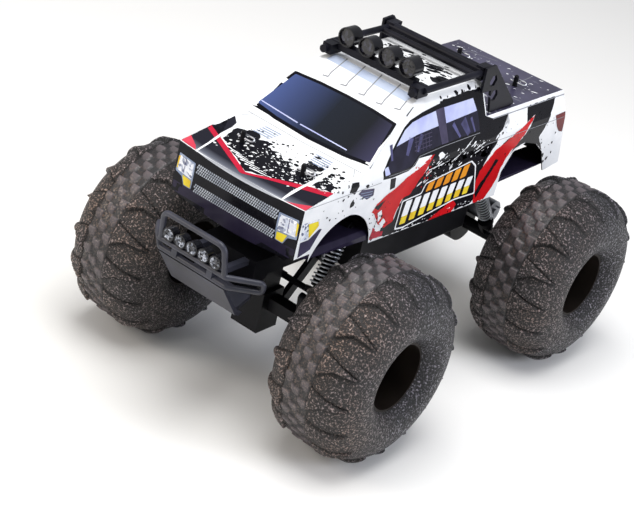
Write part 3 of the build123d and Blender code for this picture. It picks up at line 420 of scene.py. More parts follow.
def soften(points, rounds):
    """Corner-cut line through a control polygon."""
    for _ in range(rounds):
        cut = [points[0]]
        for (a, b), (c, d) in zip(points, points[1:]):
            cut += [(0.75 * a + 0.25 * c, 0.75 * b + 0.25 * d), (0.25 * a + 0.75 * c, 0.25 * b + 0.75 * d)]
        points = cut + [points[-1]]
    return points


def even(points, step):
    """Points at one spacing along a line."""
    out = [points[0]]
    left = step
    for a, b in zip(points, points[1:]):
        length = math.dist(a, b)
        at = left
        while at < length:
            share = at / length
            out.append((a[0] + share * (b[0] - a[0]), a[1] + share * (b[1] - a[1])))
            at += step
        left = at - length
    return out


def lug_height(turn, run):
    """Rise of the tread over the bare skin, its wedge value (painted facet light: paler as a band wedge
    rises) and its edge value (0 a crest with painted highlight, 1 a groove or step with painted shade), at
    a turn (in pitches) and a run from the middle."""
    run = run - BAND_SHIFT
    away = abs(run)
    if away < BAND - 0.6:
        column = math.floor((run + BAND) / (2 * BAND / 3))
        row = math.floor(turn * 4)
        share = turn * 4 - row
        across = (run + BAND) / (2 * BAND / 3) - column
        if (column + row) % 2:
            return 0.5, 0.5, 0.5
        # a raised wedge's wedge value grows with its rise, so its facet is painted paler as light
        if share + across > 0.45:
            return 1.1 + 1.4 * share, 0.75 + 0.25 * share, 0.5
        return 0.6, 0.6, 0.5
    # the groove round the band is painted dark as shade
    if away < BAND + 0.6:
        return -0.7, 0.0, 0.95
    reach = (away - BAND) / LEAF
    if reach > 1:
        return 0.0, 0.0, 0.5
    share = (turn - (0.54 if run > 0 else 0.04)) % 1.0
    low = 0.28 * (1 - max(0.0, 1 - reach / 0.42) ** 1.25)
    top = 0.64 - 0.36 * reach
    if low <= share <= top:
        within = (share - low) / max(top - low, 1e-6)
        # a leaf's lower edge and root are painted light as a crest highlight
        crest = share < low + 0.045 or away < BAND + 2.0
        return (4.6 - 1.2 * reach) * (1 - 0.72 * within), 0.0, 0.2 if crest else 0.47
    # the thin groove behind a leaf is painted dark as shade
    if top < share < top + 0.045:
        return -1.0, 0.0, 0.9
    # just below a leaf's raised lower edge: a painted shadow cast by the step
    if low - 0.07 < share < low or share > 1 + low - 0.07:
        return 0.0, 0.0, 1.0
    return 0.35, 0.0, 0.5


def tyre_form():
    half = even(soften(SECTION, 4), 1.25)
    profile = [(-u, r) for u, r in reversed(half[1:])] + half
    runs = [0.0]
    for a, b in zip(profile, profile[1:]):
        runs.append(runs[-1] + math.dist(a, b))
    middle = runs[len(half) - 1]
    runs = [r - middle for r in runs]
    bm = bmesh.new()
    verts = [bm.verts.new((u * MM, 0, r * MM)) for u, r in profile]
    for a, b in zip(verts, verts[1:]):
        bm.edges.new((a, b))
    bmesh.ops.spin(
        bm, geom=bm.verts[:] + bm.edges[:], cent=(0, 0, 0), axis=(1, 0, 0), angle=2 * math.pi,
        steps=PITCHES * 30, use_merge=True,
    )
    bmesh.ops.remove_doubles(bm, verts=bm.verts, dist=1e-6)
    points = np.array(profile)
    normals = np.gradient(points, axis=0)
    normals = np.stack([-normals[:, 1], normals[:, 0]], 1)
    normals /= np.linalg.norm(normals, axis=1)[:, None]
    if normals[len(half) - 1][1] < 0:
        normals = -normals
    # wedge and edge carry painted light into the tyre material: wedge paints rising chequer facets paler,
    # edge paints crest highlights and groove shade
    wedge = bm.verts.layers.float.new("wedge")
    edge = bm.verts.layers.float.new("edge")
    dust = bm.verts.layers.float.new("dust")
    for v in bm.verts:
        radius = math.hypot(v.co.y, v.co.z) / MM
        gap = (points[:, 0] - v.co.x / MM) ** 2 + (points[:, 1] - radius) ** 2
        at = int(gap.argmin())
        angle = math.atan2(v.co.z, -v.co.y)
        turn = (angle / (2 * math.pi)) % 1.0 * PITCHES
        rise, v[wedge], v[edge] = lug_height(turn, runs[at])
        ahead = -v.co.y / TYRE_R / MM
        v[dust] = min(0.62, max(0.0, 0.06 + 0.7 * ahead)) * (0.4 if v[wedge] else 1.0)
        nu, nr = normals[at]
        scale = min(radius + rise * nr, TYRE_R - 0.05) / radius
        v.co = Vector((v.co.x + rise * nu * MM, v.co.y * scale, v.co.z * scale))
    bmesh.ops.recalc_face_normals(bm, faces=bm.faces)
    return bm


TYRE_FORM = tyre_form()
for tyre_name, tyre_body in (
    ("front_left", "wheel_front_left"),
    ("front_right", "wheel_front_right"),
    ("rear_left", "rear_wheels"),
    ("rear_right", "rear_wheels"),
):
    copy = TYRE_FORM.copy()
    bmesh.ops.translate(copy, verts=copy.verts, vec=centre("tyre_" + tyre_name))
    finish_piece("balloon_tyre_" + tyre_name, copy, [TYRE], tyre_body, ["tyre_" + tyre_name])
TYRE_FORM.free()

# ---------------- printed shell ----------------
source = bmesh.new()
source.from_mesh(frame["nodes"]["body_shell"].data)
bmesh.ops.remove_doubles(source, verts=source.verts, dist=2e-6)
bmesh.ops.dissolve_limit(source, angle_limit=math.radians(0.6), verts=source.verts, edges=source.edges)
COWL_Y = FRONT_Y + 13.0
SCREEN_TOP_Y = FRONT_Y + 58.0
CAB_REAR_Y = REAR_Y - 108.0


def outward(face):
    """True on the skin's outer side."""
    spot = face.calc_center_median()
    normal = face.normal
    if abs(normal.x) > 0.6:
        return normal.x * spot.x > 0
    if abs(normal.z) > 0.25:
        return normal.z > 0
    if spot.y / MM < FRONT_Y:
        return normal.y < 0
    return normal.y > 0


soft_edges = []
for edge in source.edges:
    if len(edge.link_faces) != 2 or not all(outward(f) for f in edge.link_faces):
        continue
    low = min(v.co.z for v in edge.verts) / MM
    if edge.calc_face_angle(0) > math.radians(22) and low > 222:
        soft_edges.append(edge)
bmesh.ops.bevel(
    source, geom=soft_edges, offset=1.6 * MM, affect="EDGES", segments=3, profile=0.5, material=-1,
    clamp_overlap=True,
)
source.normal_update()
for face in source.faces:
    spot = face.calc_center_median() / MM
    normal = face.normal
    # faces on the inner side take the near-black inner skin: painted shade
    if not outward(face):
        face.material_index = 1
    elif normal.y < -0.75 and spot.z < 227:
        face.material_index = 2
    elif 0.05 < normal.z < 0.985 and spot.y < FRONT_Y - 67 and spot.z > 219:
        face.material_index = 4
    elif normal.z > 0.9 and spot.y > CAB_REAR_Y - 1 and spot.z > 250:
        face.material_index = 3
    else:
        face.material_index = 0
SKIN = BVHTree.FromBMesh(source)
finish_piece(
    "pickup_shell", source, [WHITE, INNER_SKIN_SHADE, BLACK, PLUM, NAVY], "chassis", ["body_shell"],
    smooth=False,
)

# Prints lie on the skin in thin layers. A print is drawn flat, in mm, seen from the side (y, z),
# from above (x, y), from the front (x, z) or from behind (x, z), and is pressed onto the skin.
PRINTS = {}
LOOK = {
    "left": (lambda a, b: Vector((120, a, b)), Vector((-1, 0, 0))),
    "right": (lambda a, b: Vector((-120, a, b)), Vector((1, 0, 0))),
    "top": (lambda a, b: Vector((a, b, 400)), Vector((0, 0, -1))),
    "front": (lambda a, b: Vector((a, -400, b)), Vector((0, 1, 0))),
    "rear": (lambda a, b: Vector((a, 400, b)), Vector((0, -1, 0))),
}
ROOF_BENDS = [(1, COWL_Y)] + [(1, SCREEN_TOP_Y + step) for step in (0, 13, 42, 90, 132)] + [(0, -20), (0, 20)]
SIDE_BENDS = [(1, 226), (1, 232), (1, 283)]
CREASES = {"left": SIDE_BENDS, "right": SIDE_BENDS, "top": ROOF_BENDS, "front": [], "rear": []}


def print_on(look, outline, material, layer, round_off=0.0, cells=0.0):
    """Presses one flat outline onto the skin as a layer of ink."""
    place, way = LOOK[look]
    flat = bmesh.new()
    verts = [flat.verts.new((a, b, 0)) for a, b in outline]
    flat.faces.new(verts)
    if round_off:
        bmesh.ops.bevel(
            flat, geom=flat.verts[:], offset=round_off, affect="VERTICES", segments=3, profile=0.5,
            material=-1, clamp_overlap=True,
        )
    bmesh.ops.triangulate(flat, faces=flat.faces[:])
    spans = [(min(v.co[i] for v in flat.verts), max(v.co[i] for v in flat.verts)) for i in (0, 1)]
    cuts = []
    if cells:
        for i in (0, 1):
            at = math.ceil(spans[i][0] / cells) * cells
            while at < spans[i][1]:
                cuts.append((i, at))
                at += cells
    cuts += [(axis, line) for axis, line in CREASES[look] if spans[axis][0] < line < spans[axis][1]]
    for i, at in cuts:
        spot = (at, 0, 0) if i == 0 else (0, at, 0)
        normal = (1, 0, 0) if i == 0 else (0, 1, 0)
        bmesh.ops.bisect_plane(
            flat, geom=flat.verts[:] + flat.edges[:] + flat.faces[:], plane_co=spot, plane_no=normal
        )
    lift = 0.06 + 0.05 * layer
    found, lost = {}, []
    for v in flat.verts:
        start = place(v.co.x, v.co.y)
        hit, normal, _, _ = SKIN.ray_cast(start * MM, way)
        if hit is None or abs(normal.dot(way)) < 0.12:
            lost.append(v)
        else:
            found[v] = (v.co.copy(), hit, normal if normal.dot(way) < 0 else -normal)
    for v in list(lost):
        near = min(found.values(), key=lambda item: (item[0] - v.co).length, default=None)
        if near is None or (near[0] - v.co).length > 7:
            continue
        step = place(v.co.x, v.co.y) - place(near[0].x, near[0].y)
        hit, normal, _, _ = SKIN.find_nearest(near[1] + step * MM, 0.006)
        if hit is not None:
            v.co = hit + (normal if normal.dot(way) < 0.3 else -normal) * lift * MM
            lost.remove(v)
    for v, (_, hit, normal) in found.items():
        v.co = hit + normal * lift * MM
    bmesh.ops.delete(flat, geom=lost, context="VERTS")
    if not flat.faces:
        flat.free()
        return
    flat.normal_update()
    for face in flat.faces:
        if face.normal.dot(way) > 0:
            face.normal_flip()
    sheet = PRINTS.setdefault(material.name, (material, bmesh.new()))[1]
    scratch = bpy.data.meshes.new("scratch")
    flat.to_mesh(scratch)
    sheet.from_mesh(scratch)
    bpy.data.meshes.remove(scratch)
    flat.free()


def both_sides(outline, material, layer, round_off=0.0, cells=0.0):
    for look in ("left", "right"):
        print_on(look, outline, material, layer, round_off, cells)


def strip(start, end, width, finish=None):
    """Outline of a straight line of ink, tapering to another width."""
    (a, b), (c, d) = start, end
    length = math.dist(start, end)
    nx, ny = -(d - b) / length / 2, (c - a) / length / 2
    last = width if finish is None else finish
    return [(a + nx * width, b + ny * width), (c + nx * last, d + ny * last),
            (c - nx * last, d - ny * last), (a - nx * width, b - ny * width)]


def blob(rng, a, b, size, stretch=1.0, lean=0.0, points=9):
    """Outline of one splash of ink."""
    out = []
    for i in range(points):
        angle = 2 * math.pi * i / points
        r = size * rng.uniform(0.65, 1.25)
        u, v = r * stretch * math.cos(angle), r * math.sin(angle)
        out.append((a + u * math.cos(lean) - v * math.sin(lean), b + u * math.sin(lean) + v * math.cos(lean)))
    return out


def spatter(looks, seed, area, count, sizes, material, layer, stretch=1.0, lean=0.0):
    """Many small splashes inside a box (a0, b0, a1, b1); most are near the smaller size."""
    for look in looks:
        rng = random.Random(seed)
        for _ in range(count):
            a = rng.uniform(area[0], area[2])
            b = rng.uniform(area[1], area[3])
            size = sizes[0] + (sizes[1] - sizes[0]) * rng.random() ** 3
            print_on(look, blob(rng, a, b, size, rng.uniform(1, stretch), lean, 7), material, layer)


def ragged(outline, rng, bite, step=3.0):
    """Outline with torn brush edges."""
    out = []
    for (a, b), (c, d) in zip(outline, outline[1:] + outline[:1]):
        length = math.dist((a, b), (c, d))
        parts = max(1, int(length / step))
        for i in range(parts):
            share = i / parts
            push = rng.uniform(-bite, bite) if i else 0
            out.append((a + share * (c - a) - push * (d - b) / max(length, 1e-6),
                        b + share * (d - b) + push * (c - a) / max(length, 1e-6)))
    return out


SIDES = ("left", "right")
# --- cab side: black surround, glass, pillar ---
rng = random.Random(4)
surround = [(-100, 229), (-101, 236), (-94, 245), (-86, 254), (-80, 260), (-71, 268), (-62, 272.5),
            (-44, 276), (-21, 278.5), (6, 280), (30, 280), (50, 280), (57, 254), (69, 249.5), (96, 249.5),
            (96, 240), (78, 232), (72, 222), (68, 212), (45, 219), (0, 219), (-28, 219), (-33, 228),
            (-28, 236), (-48, 237), (-54, 232), (-63, 229), (-86, 228)]
both_sides(surround, BLACK, 0, cells=8)
glass_front = [(-96, 233), (-92, 243), (-81, 256), (-70, 266), (-59, 270.5), (-43, 272.5), (-23, 274),
               (-13, 242), (-49, 240), (-57, 234), (-66, 231.5)]
glass_rear = [(-11, 274.5), (35, 274.5), (41, 266), (46, 252), (47.5, 243), (-3, 242)]
both_sides(glass_front, GLASS_DARK, 1, cells=8)
both_sides(glass_rear, GLASS_DARK, 1, cells=8)
both_sides([(-82, 254), (-70, 265.5), (-59, 270), (-43, 272), (-23, 273.5), (-18.5, 259.5),
            (-52, 258)], PALE, 2, cells=8)
both_sides([(-11, 274), (35, 274), (42, 261.5), (-7, 259.5)], PALE, 2, cells=8)
both_sides([(-24, 274), (-11, 274.5), (-3, 242), (-13, 242)], PILLAR, 3)
for top, low, wide in ((-60, -66, 7), (-44, -50, 5), (4, 16, 4), (20, 30, 9), (33, 40, 3), (-90, -88, 4)):
    both_sides(strip((top, 257), (low, 243), wide, wide * 0.6), LAVENDER, 2)
for i in range(5):
    both_sides(strip((-54 + 5 * i, 256.5), (-52 + 5 * i, 243), 0.7), PILLAR, 4)
for i in range(4):
    both_sides(strip((-55, 255.5 - 3.6 * i), (-29, 256 - 3.6 * i), 0.7), PILLAR, 4)
both_sides([(-99, 238.5), (-94, 239.5), (-90.5, 232), (-97.5, 232)], PALE, 3, 0.8)
both_sides(strip((-12, 240), (48, 240.5), 0.5), GREY, 3)
both_sides(strip((-92, 230.5), (-60, 230.3), 0.5), GREY, 3)
both_sides(strip((-60, 230.3), (-47, 238.6), 0.5), GREY, 3)
both_sides(strip((-47, 238.6), (-12, 240), 0.5), GREY, 3)

# --- lower side: black field, red sweeps, white brush marks ---
field = [(-28, 229), (0, 229), (74, 229), (97, 231), (109, 229), (100, 222), (86, 206), (70, 172),
         (60, 164.6), (-60, 166.6), (-76, 167), (-88, 169), (-84, 180), (-68, 181), (-60, 205),
         (-44, 212), (-34, 222)]
both_sides(ragged(field, rng, 0.8), BLACK, 0, cells=8)
sweep = [(-24, 236), (-34, 233), (-51, 228), (-65, 222), (-79, 215), (-93, 210), (-101, 206), (-106, 199),
         (-100, 195), (-92, 184), (-80, 177), (-68, 181), (-66, 192), (-62, 201), (-50, 204), (-44, 212),
         (-36, 221), (-31, 229)]
both_sides(ragged(sweep, rng, 0.7), RED, 3, cells=8)
both_sides(ragged([(-99, 170), (-98, 182), (-90, 176), (-80, 174), (-80, 169.5)], rng, 0.6), CRIMSON, 2)
both_sides(ragged([(-104, 203), (-88, 207.5), (-96, 199)], rng, 0.5, 2), BLACK, 4)
both_sides(ragged([(-96, 196), (-92, 186), (-88, 190), (-91, 198)], rng, 0.5, 2), WHITE, 4)
both_sides(ragged([(-90, 184), (-84, 178), (-80, 183), (-85, 188)], rng, 0.5, 2), WHITE, 4)
both_sides(ragged([(-36, 233), (-46, 232.5), (-60, 226.5), (-58, 224.5), (-40, 230)], rng, 0.5, 2), WHITE, 4)
rear_sweep = [(144, 239), (133, 235), (116, 229), (100, 223), (82, 217), (70, 207), (62, 199), (60, 190),
              (62, 178), (66, 164.5), (84, 163.8), (92, 172), (98, 181), (100, 190), (104, 200),
              (111, 209), (122, 216), (129, 222), (136, 232)]
both_sides(ragged(rear_sweep, rng, 0.8), RED, 4, cells=8)
both_sides(ragged([(86, 206), (92, 204), (80, 188), (72, 176), (70, 182)], rng, 0.5, 2), BLACK, 5)
both_sides(ragged([(64, 176), (70, 186), (78, 192), (74, 180), (68, 168)], rng, 0.5, 2), BLACK, 5)
white_bar = [(96, 249), (99, 238), (92, 233), (80, 229), (80, 224), (72, 214), (66, 203), (78, 212),
             (90, 219), (104, 226), (118, 231), (128, 234), (129, 249.5)]
both_sides(ragged(white_bar, rng, 0.8), WHITE, 2, cells=8)
tail_field = [(128, 249.5), (180, 249.5), (171, 230), (160, 212), (173, 196), (160, 205), (134, 212.5),
              (118, 210), (108, 203), (118, 213), (131, 222), (144, 239), (130, 234)]
both_sides(ragged(tail_field, rng, 0.7), BLACK, 1, cells=8)
both_sides(ragged([(-8, 164.4), (-2, 168), (27, 178), (35, 171), (30, 164.4)], rng, 0.5), RED, 4)
both_sides([(182, 231), (200, 232), (203, 219), (204.5, 209), (197, 211), (190, 218)], MAROON, 4, 1.0)
both_sides([(176, 190), (188, 183), (208, 181), (210, 175), (187, 171.4)], BLACK, 3)
both_sides(strip((69, 249), (196, 249), 0.8), GREY, 6, cells=10)
both_sides(strip((60, 227), (199, 226.4), 0.5), GREY, 6, cells=10)
both_sides(strip((-205, 227.2), (-102, 227.2), 0.5), GREY, 6, cells=10)

# --- side badge place: plain slanted colour blocks, no lettering ---
both_sides([(-62, 170), (-61, 199), (-33, 200), (-29, 209), (42, 215), (52, 208), (64, 175), (29, 177),
            (-50, 168.5)],
           WHITE, 5, 1.5, cells=8)
both_sides([(-60.6, 171.5), (-59.6, 197.7), (-31.8, 198.7), (-28, 207.7), (41.5, 213.5), (50.6, 206.8),
            (62, 176.6), (28.6, 178.6), (-49, 170)], BLACK, 6, 1.5, cells=8)
for i in range(5):
    a = -26 + 13.6 * i
    both_sides([(a, 199), (a + 2.5, 207.6 + i), (a + 12, 208.4 + i), (a + 9.6, 199.8)], ORANGE, 7, 1.2)
for i in range(8):
    a = -56 + 13.8 * i
    low = 173.5 + (1.0 * i if i < 6 else 6)
    both_sides([(a, low + 8), (a + 2, 197), (a + 11.5, 197), (a + 9.4, low + 8)], WHITE, 7, 1.0)
    both_sides([(a, low), (a + 0.6, low + 8), (a + 9.6, low + 8), (a + 8.6, low)], AMBER, 7, 0.8)

# --- fender: vent, lamp, marks ---
both_sides([(-134, 224), (-130, 227), (-111, 224), (-110, 217), (-119, 215)], PILLAR, 2, 0.8)
for i in range(3):
    both_sides(strip((-130, 223.4 - 2.6 * i), (-113, 221.6 - 2.4 * i), 0.7), STEEL_BLUE, 3)
both_sides([(-205.5, 214), (-183, 213), (-181, 207), (-192, 197.5), (-203, 197)], HEADLAMP, 2, 0.8)
both_sides([(-197, 212), (-184, 211.6), (-182, 206.6), (-192.5, 197.5)], AMBER, 6, 0.6)
both_sides([(-202, 182), (-203, 196), (-192, 196), (-180, 203), (-176, 202), (-186, 186), (-187, 177.5),
            (-199, 176)],
           PILLAR, 1, 0.8)
both_sides(blob(rng, -141, 231.5, 5.5, 1.4), BLACK, 3)
both_sides(blob(rng, -140, 216.5, 3.4, 1.0), BLACK, 3)
both_sides(blob(rng, -122, 228.5, 2.0, 1.4), BLACK, 3)
both_sides(blob(rng, -13, 232, 3.6, 1.3), WHITE, 3)
both_sides([(-89, 227.4), (-81, 227), (-79, 217), (-86, 216)], BLACK, 2, 0.5)
spatter(SIDES, 11, (-195, 205, -105, 238), 26, (0.5, 1.7), BLACK, 3)
spatter(SIDES, 12, (-112, 168, -70, 205), 40, (0.5, 1.8), BLACK, 5)
spatter(SIDES, 13, (-40, 208, 66, 234), 90, (0.3, 1.2), WHITE, 3, 4.5, 0.5)
spatter(SIDES, 14, (-60, 165, 60, 170), 26, (0.4, 1.0), WHITE, 3, 3.0, 0.2)
spatter(SIDES, 15, (70, 200, 140, 245), 34, (0.4, 1.5), BLACK, 5)
spatter(SIDES, 16, (150, 180, 195, 240), 34, (0.6, 2.8), BLACK, 4)
spatter(SIDES, 17, (-55, 205, -20, 232), 26, (0.5, 1.6), RED, 4)
for start, end, wide in (((6, 222), (26, 231), 1.4), ((26, 231), (40, 239), 1.0), ((-30, 222), (0, 224), 1.6),
                         ((44, 226), (62, 231), 1.0), ((44, 222), (60, 226.5), 1.2)):
    both_sides(ragged(strip(start, end, wide, wide * 0.3), rng, 0.4, 2), WHITE, 3)

# --- hood ---
navy_front = [(-70, -205.6), (-56, -207.2), (-35, -208.1), (0, -208.5), (35, -208.1), (56, -207.2),
              (70, -205.6), (70, -171), (45, -180), (20, -190), (2, -200), (-3, -202), (-8, -200),
              (-26, -190), (-50, -179), (-70, -169), (-70, -145)]
print_on("top", navy_front, NAVY, 0, cells=3)
print_on("top", [(-70, -172), (-70, -143.5), (-65, -144), (-57, -151), (-55, -160),
                 (-53, -178)], NAVY, 0, cells=6)
chevron_r = [(-70, -174.5), (-50, -183.5), (-26, -194.5), (-4, -204.5), (-1, -204.5), (-1, -200.8),
             (-24, -190), (-48, -179), (-69, -169.6)]
chevron_l = [(69, -177), (44, -186), (20, -195), (0, -204), (-1, -204.5), (-1, -200.8), (8, -197),
             (26, -188), (46, -178.4), (69, -169.6)]
print_on("top", chevron_r, CRIMSON, 3, cells=6)
print_on("top", chevron_l, CRIMSON, 3, cells=6)
print_on("top", [(-69.5, -205.6), (-69.5, -194), (-56, -202.4), (-51, -207.6)], ROSE, 3, cells=3)
print_on("top", [(50, -207.6), (58, -203.8), (69.5, -196.5), (69.5, -205.6)], ROSE, 3, cells=3)
print_on("top", [(-50.5, -210.8), (-52, -192), (-55, -172), (-55, -153), (-52, -156), (-52, -172),
                 (-50, -190), (-48.6, -210.8)], WHITE, 4, cells=6)
print_on("top", [(45.5, -211.2), (43.5, -193), (44.5, -175), (45, -152), (48.5, -148), (49, -164),
                 (46.8, -181), (46.9, -197), (47, -211.2)], WHITE, 4, cells=6)
splash = [(-49, -177), (-51, -156), (-40, -154), (-30, -157), (-19, -152), (-8, -160), (2, -158),
          (9, -164), (16, -160), (24, -168), (36, -166), (43, -152), (44, -172), (44, -181), (30, -188),
          (8, -196), (-2, -200), (-24, -189)]
print_on("top", ragged(splash, rng, 1.6, 4), BLACK, 1, cells=6)
print_on("top", ragged([(50, -156), (60, -160), (68, -170), (50, -176)], rng, 1.4, 3), BLACK, 1)
spatter(("top",), 21, (-50, -190, 44, -156), 210, (0.25, 1.3), WHITE, 2, 2.5, 0.3)
spatter(("top",), 22, (-14, -172, 42, -150), 60, (0.4, 2.2), WHITE, 2, 1.6)
spatter(("top",), 23, (-44, -168, 62, -138), 130, (0.3, 2.2), BLACK, 3, 1.4)
spatter(("top",), 24, (48, -176, 70, -145), 40, (0.5, 2.0), BLACK, 2, 1.6)
spatter(("top",), 25, (50, -176, 68, -160), 26, (0.4, 1.4), WHITE, 3, 2.0, 0.3)
for shift in range(6):
    start, end = (-38 + 7 * shift, -183.5 - shift * 2.0), (-20 + 8 * shift, -184 - shift * 1.4)
    print_on("top", ragged(strip(start, end, 1.5, 0.5), rng, 0.4, 2), WHITE, 2)
for side in (-1, 1):
    for i in range(5):
        a = side * (29 + 0.6 * i)
        print_on("top", strip((a - 8, -136.5 - 3 * i), (a + 10, -136 - 3 * i), 1.3), STEEL_BLUE, 3)
    print_on("top", blob(rng, side * 34, -153, 5.0, 1.6), BLACK, 2)
print_on("top", strip((-70, -129), (0, -131), 0.7), GREY, 2, cells=8)
print_on("top", strip((0, -131), (70, -129), 0.7), GREY, 2, cells=8)
for side in (-1, 1):
    print_on("top", strip((side * 70, -146), (side * 58, -130.2), 0.6), GREY, 2, cells=8)

# --- windscreen and roof ---
screen = [(-66.5, -120.5), (-40, -123.6), (0, -125), (40, -123.6), (66.5, -120.5), (57.5, -81.5),
          (30, -79.6), (0, -79), (-30, -79.6), (-57.5, -81.5)]
print_on("top", screen, BLACK, 0, 1.0, cells=6)
print_on("top", [(a * 0.955, -100.5 + (b + 100.5) * 0.88) for a, b in screen], SCREEN, 1, 1.0, cells=6)
print_on("top", strip((-62, -115.5), (-18, -117.5), 0.9), PALE, 2, cells=6)
print_on("top", strip((-15, -117.5), (38, -118), 0.9), PALE, 2, cells=6)
print_on("top", strip((-66, -121.5), (-14, -123), 1.6), BLACK, 3, cells=6)
print_on("top", strip((-14, -123), (48, -122), 1.8), BLACK, 3, cells=6)
for a, b, c, d in ((-28, -79, -33, -42), (-7.5, -79, -14, -40), (13, -79, 5, -40), (32.5, -79, 26, -40),
                   (50, -76, 46, -56)):
    print_on("top", strip((a, b + 6), (c, d), 1.1), GREY, 3, cells=8)
    print_on("top", strip((a - 5.5, b + 5), (a + 0.4, b + 6), 1.1), GREY, 3)
print_on("top", [(-46, -55), (46, -58), (46, -46), (-46, -44)], SKY, 1, cells=8)
spatter(("top",), 31, (-46, -34, 46, 34), 70, (0.8, 5.0), BLACK, 2, 2.2, 0.4)
spatter(("top",), 32, (-44, 0, 44, 44), 40, (2.0, 7.0), BLACK, 1, 1.8, 0.4)
spatter(SIDES, 33, (-18, 279, 44, 284), 14, (0.8, 3.0), BLACK, 2)
both_sides(strip((-68, 277), (-58, 283), 1.4, 0.6), BLACK, 3)
both_sides(ragged([(-18, 277), (49, 277), (46, 281.5), (-12, 281.5)], rng, 0.9), BLACK, 1)

# --- bed cover and tail ---
for a, b, c, d in ((-40, 150, -40, 176), (-40, 176, -10, 186), (34, 126, 30, 186), (-60, 120, 60, 122)):
    print_on("top", strip((a, b), (c, d), 0.7), GREY, 2, cells=10)
spatter(("top",), 41, (-60, 62, 60, 190), 170, (0.25, 1.2), WHITE, 2, 4.0, 0.5)
rear_face = [(-66, 247), (66, 247), (68.5, 222), (68.5, 178), (-68.5, 178), (-68.5, 222)]
print_on("rear", rear_face, BLACK, 0, 2.0, cells=8)
for side in (-1, 1):
    print_on("rear", [(side * 67, 234), (side * 56, 234), (side * 56, 208),
                      (side * 67.5, 206)], MAROON, 1, 1.5)
    print_on("rear", [(side * 66, 220), (side * 57.5, 220), (side * 57.5, 215),
                      (side * 66, 215)], PALE, 2, 0.8)
print_on("rear", [(-50, 238), (50, 238), (50, 200), (-50, 200)], PILLAR, 1, 2.5, cells=8)
print_on("rear", [(-14, 232), (14, 232), (12, 226), (-12, 226)], BLACK, 2, 1.0)
print_on("rear", strip((-60, 190), (60, 190), 1.6), GREY, 2, cells=8)
print_on("rear", ragged([(-48, 205), (-20, 228), (-8, 226), (-36, 203)], rng, 0.8), RED, 3)

print_on("rear", [(-44, 274), (44, 274), (52, 256), (-52, 256)], GLASS_DARK, 1, 2.0, cells=8)

# --- nose: lamps and two mesh bands round a bare bar ---
for side in (-1, 1):
    print_on("front", [(side * 47, 215.5), (side * 67, 216.5), (side * 68.6, 199), (side * 60, 197),
                       (side * 56.5, 190), (side * 48, 190),
                       (side * 47, 200)], STEEL_BLUE, 1, 0.8, cells=5)
    print_on("front", [(side * 48.6, 214), (side * 65.4, 214.8), (side * 67, 200.6), (side * 48.6, 199.4)],
             HEADLAMP, 2, 0.8, cells=5)
    print_on("front", strip((side * 58.4, 214), (side * 58.6, 201), 0.7), LAVENDER, 3)
    print_on("front", [(side * 65.5, 214), (side * 67.6, 213), (side * 67.8, 202),
                       (side * 66.4, 202)], AMBER, 2)
    print_on("front", [(side * 48.8, 198), (side * 59.4, 199), (side * 56, 190.8),
                       (side * 48.8, 190.8)], AMBER, 5, 0.6)
# This outline reaches below the nose's lower edge, so part of it lands by the tail and is stretched
# through the inside of the body.
print_on("front", [(-69, 190), (69, 190), (69, 170), (-69, 170)], FACE_PLUM, 0, cells=5)
for low, high in ((207.4, 216.8), (189.2, 198)):
    rows = 4
    tall = (high - low) / rows
    for row in range(rows):
        for column in range(40):
            a = -45 + column * 2.27 + (1.1 if row % 2 else 0)
            b = low + row * tall
            print_on("front", [(a, b + 0.2), (a + 1.4, b + 0.2), (a + 2.0, b + tall - 0.3),
                               (a + 0.6, b + tall - 0.3)],
                     MESH_SILVER, 1)

for ink_name, (material, sheet) in sorted(PRINTS.items()):
    finish_piece("print_" + ink_name, sheet, [material], "chassis", smooth=False)


# ---------------- springs over the shocks, each round a soft dust boot ----------------
SHOCK_AXIS = {"front": Vector((0, 32, 67)).normalized(), "rear": Vector((0, -44, 54)).normalized()}


def on_shock(bm, middle, axis):
    turned = Vector((0, 0, 1)).rotation_difference(axis).to_matrix()
    bmesh.ops.rotate(bm, verts=bm.verts, cent=(0, 0, 0), matrix=turned)
    bmesh.ops.translate(bm, verts=bm.verts, vec=middle)


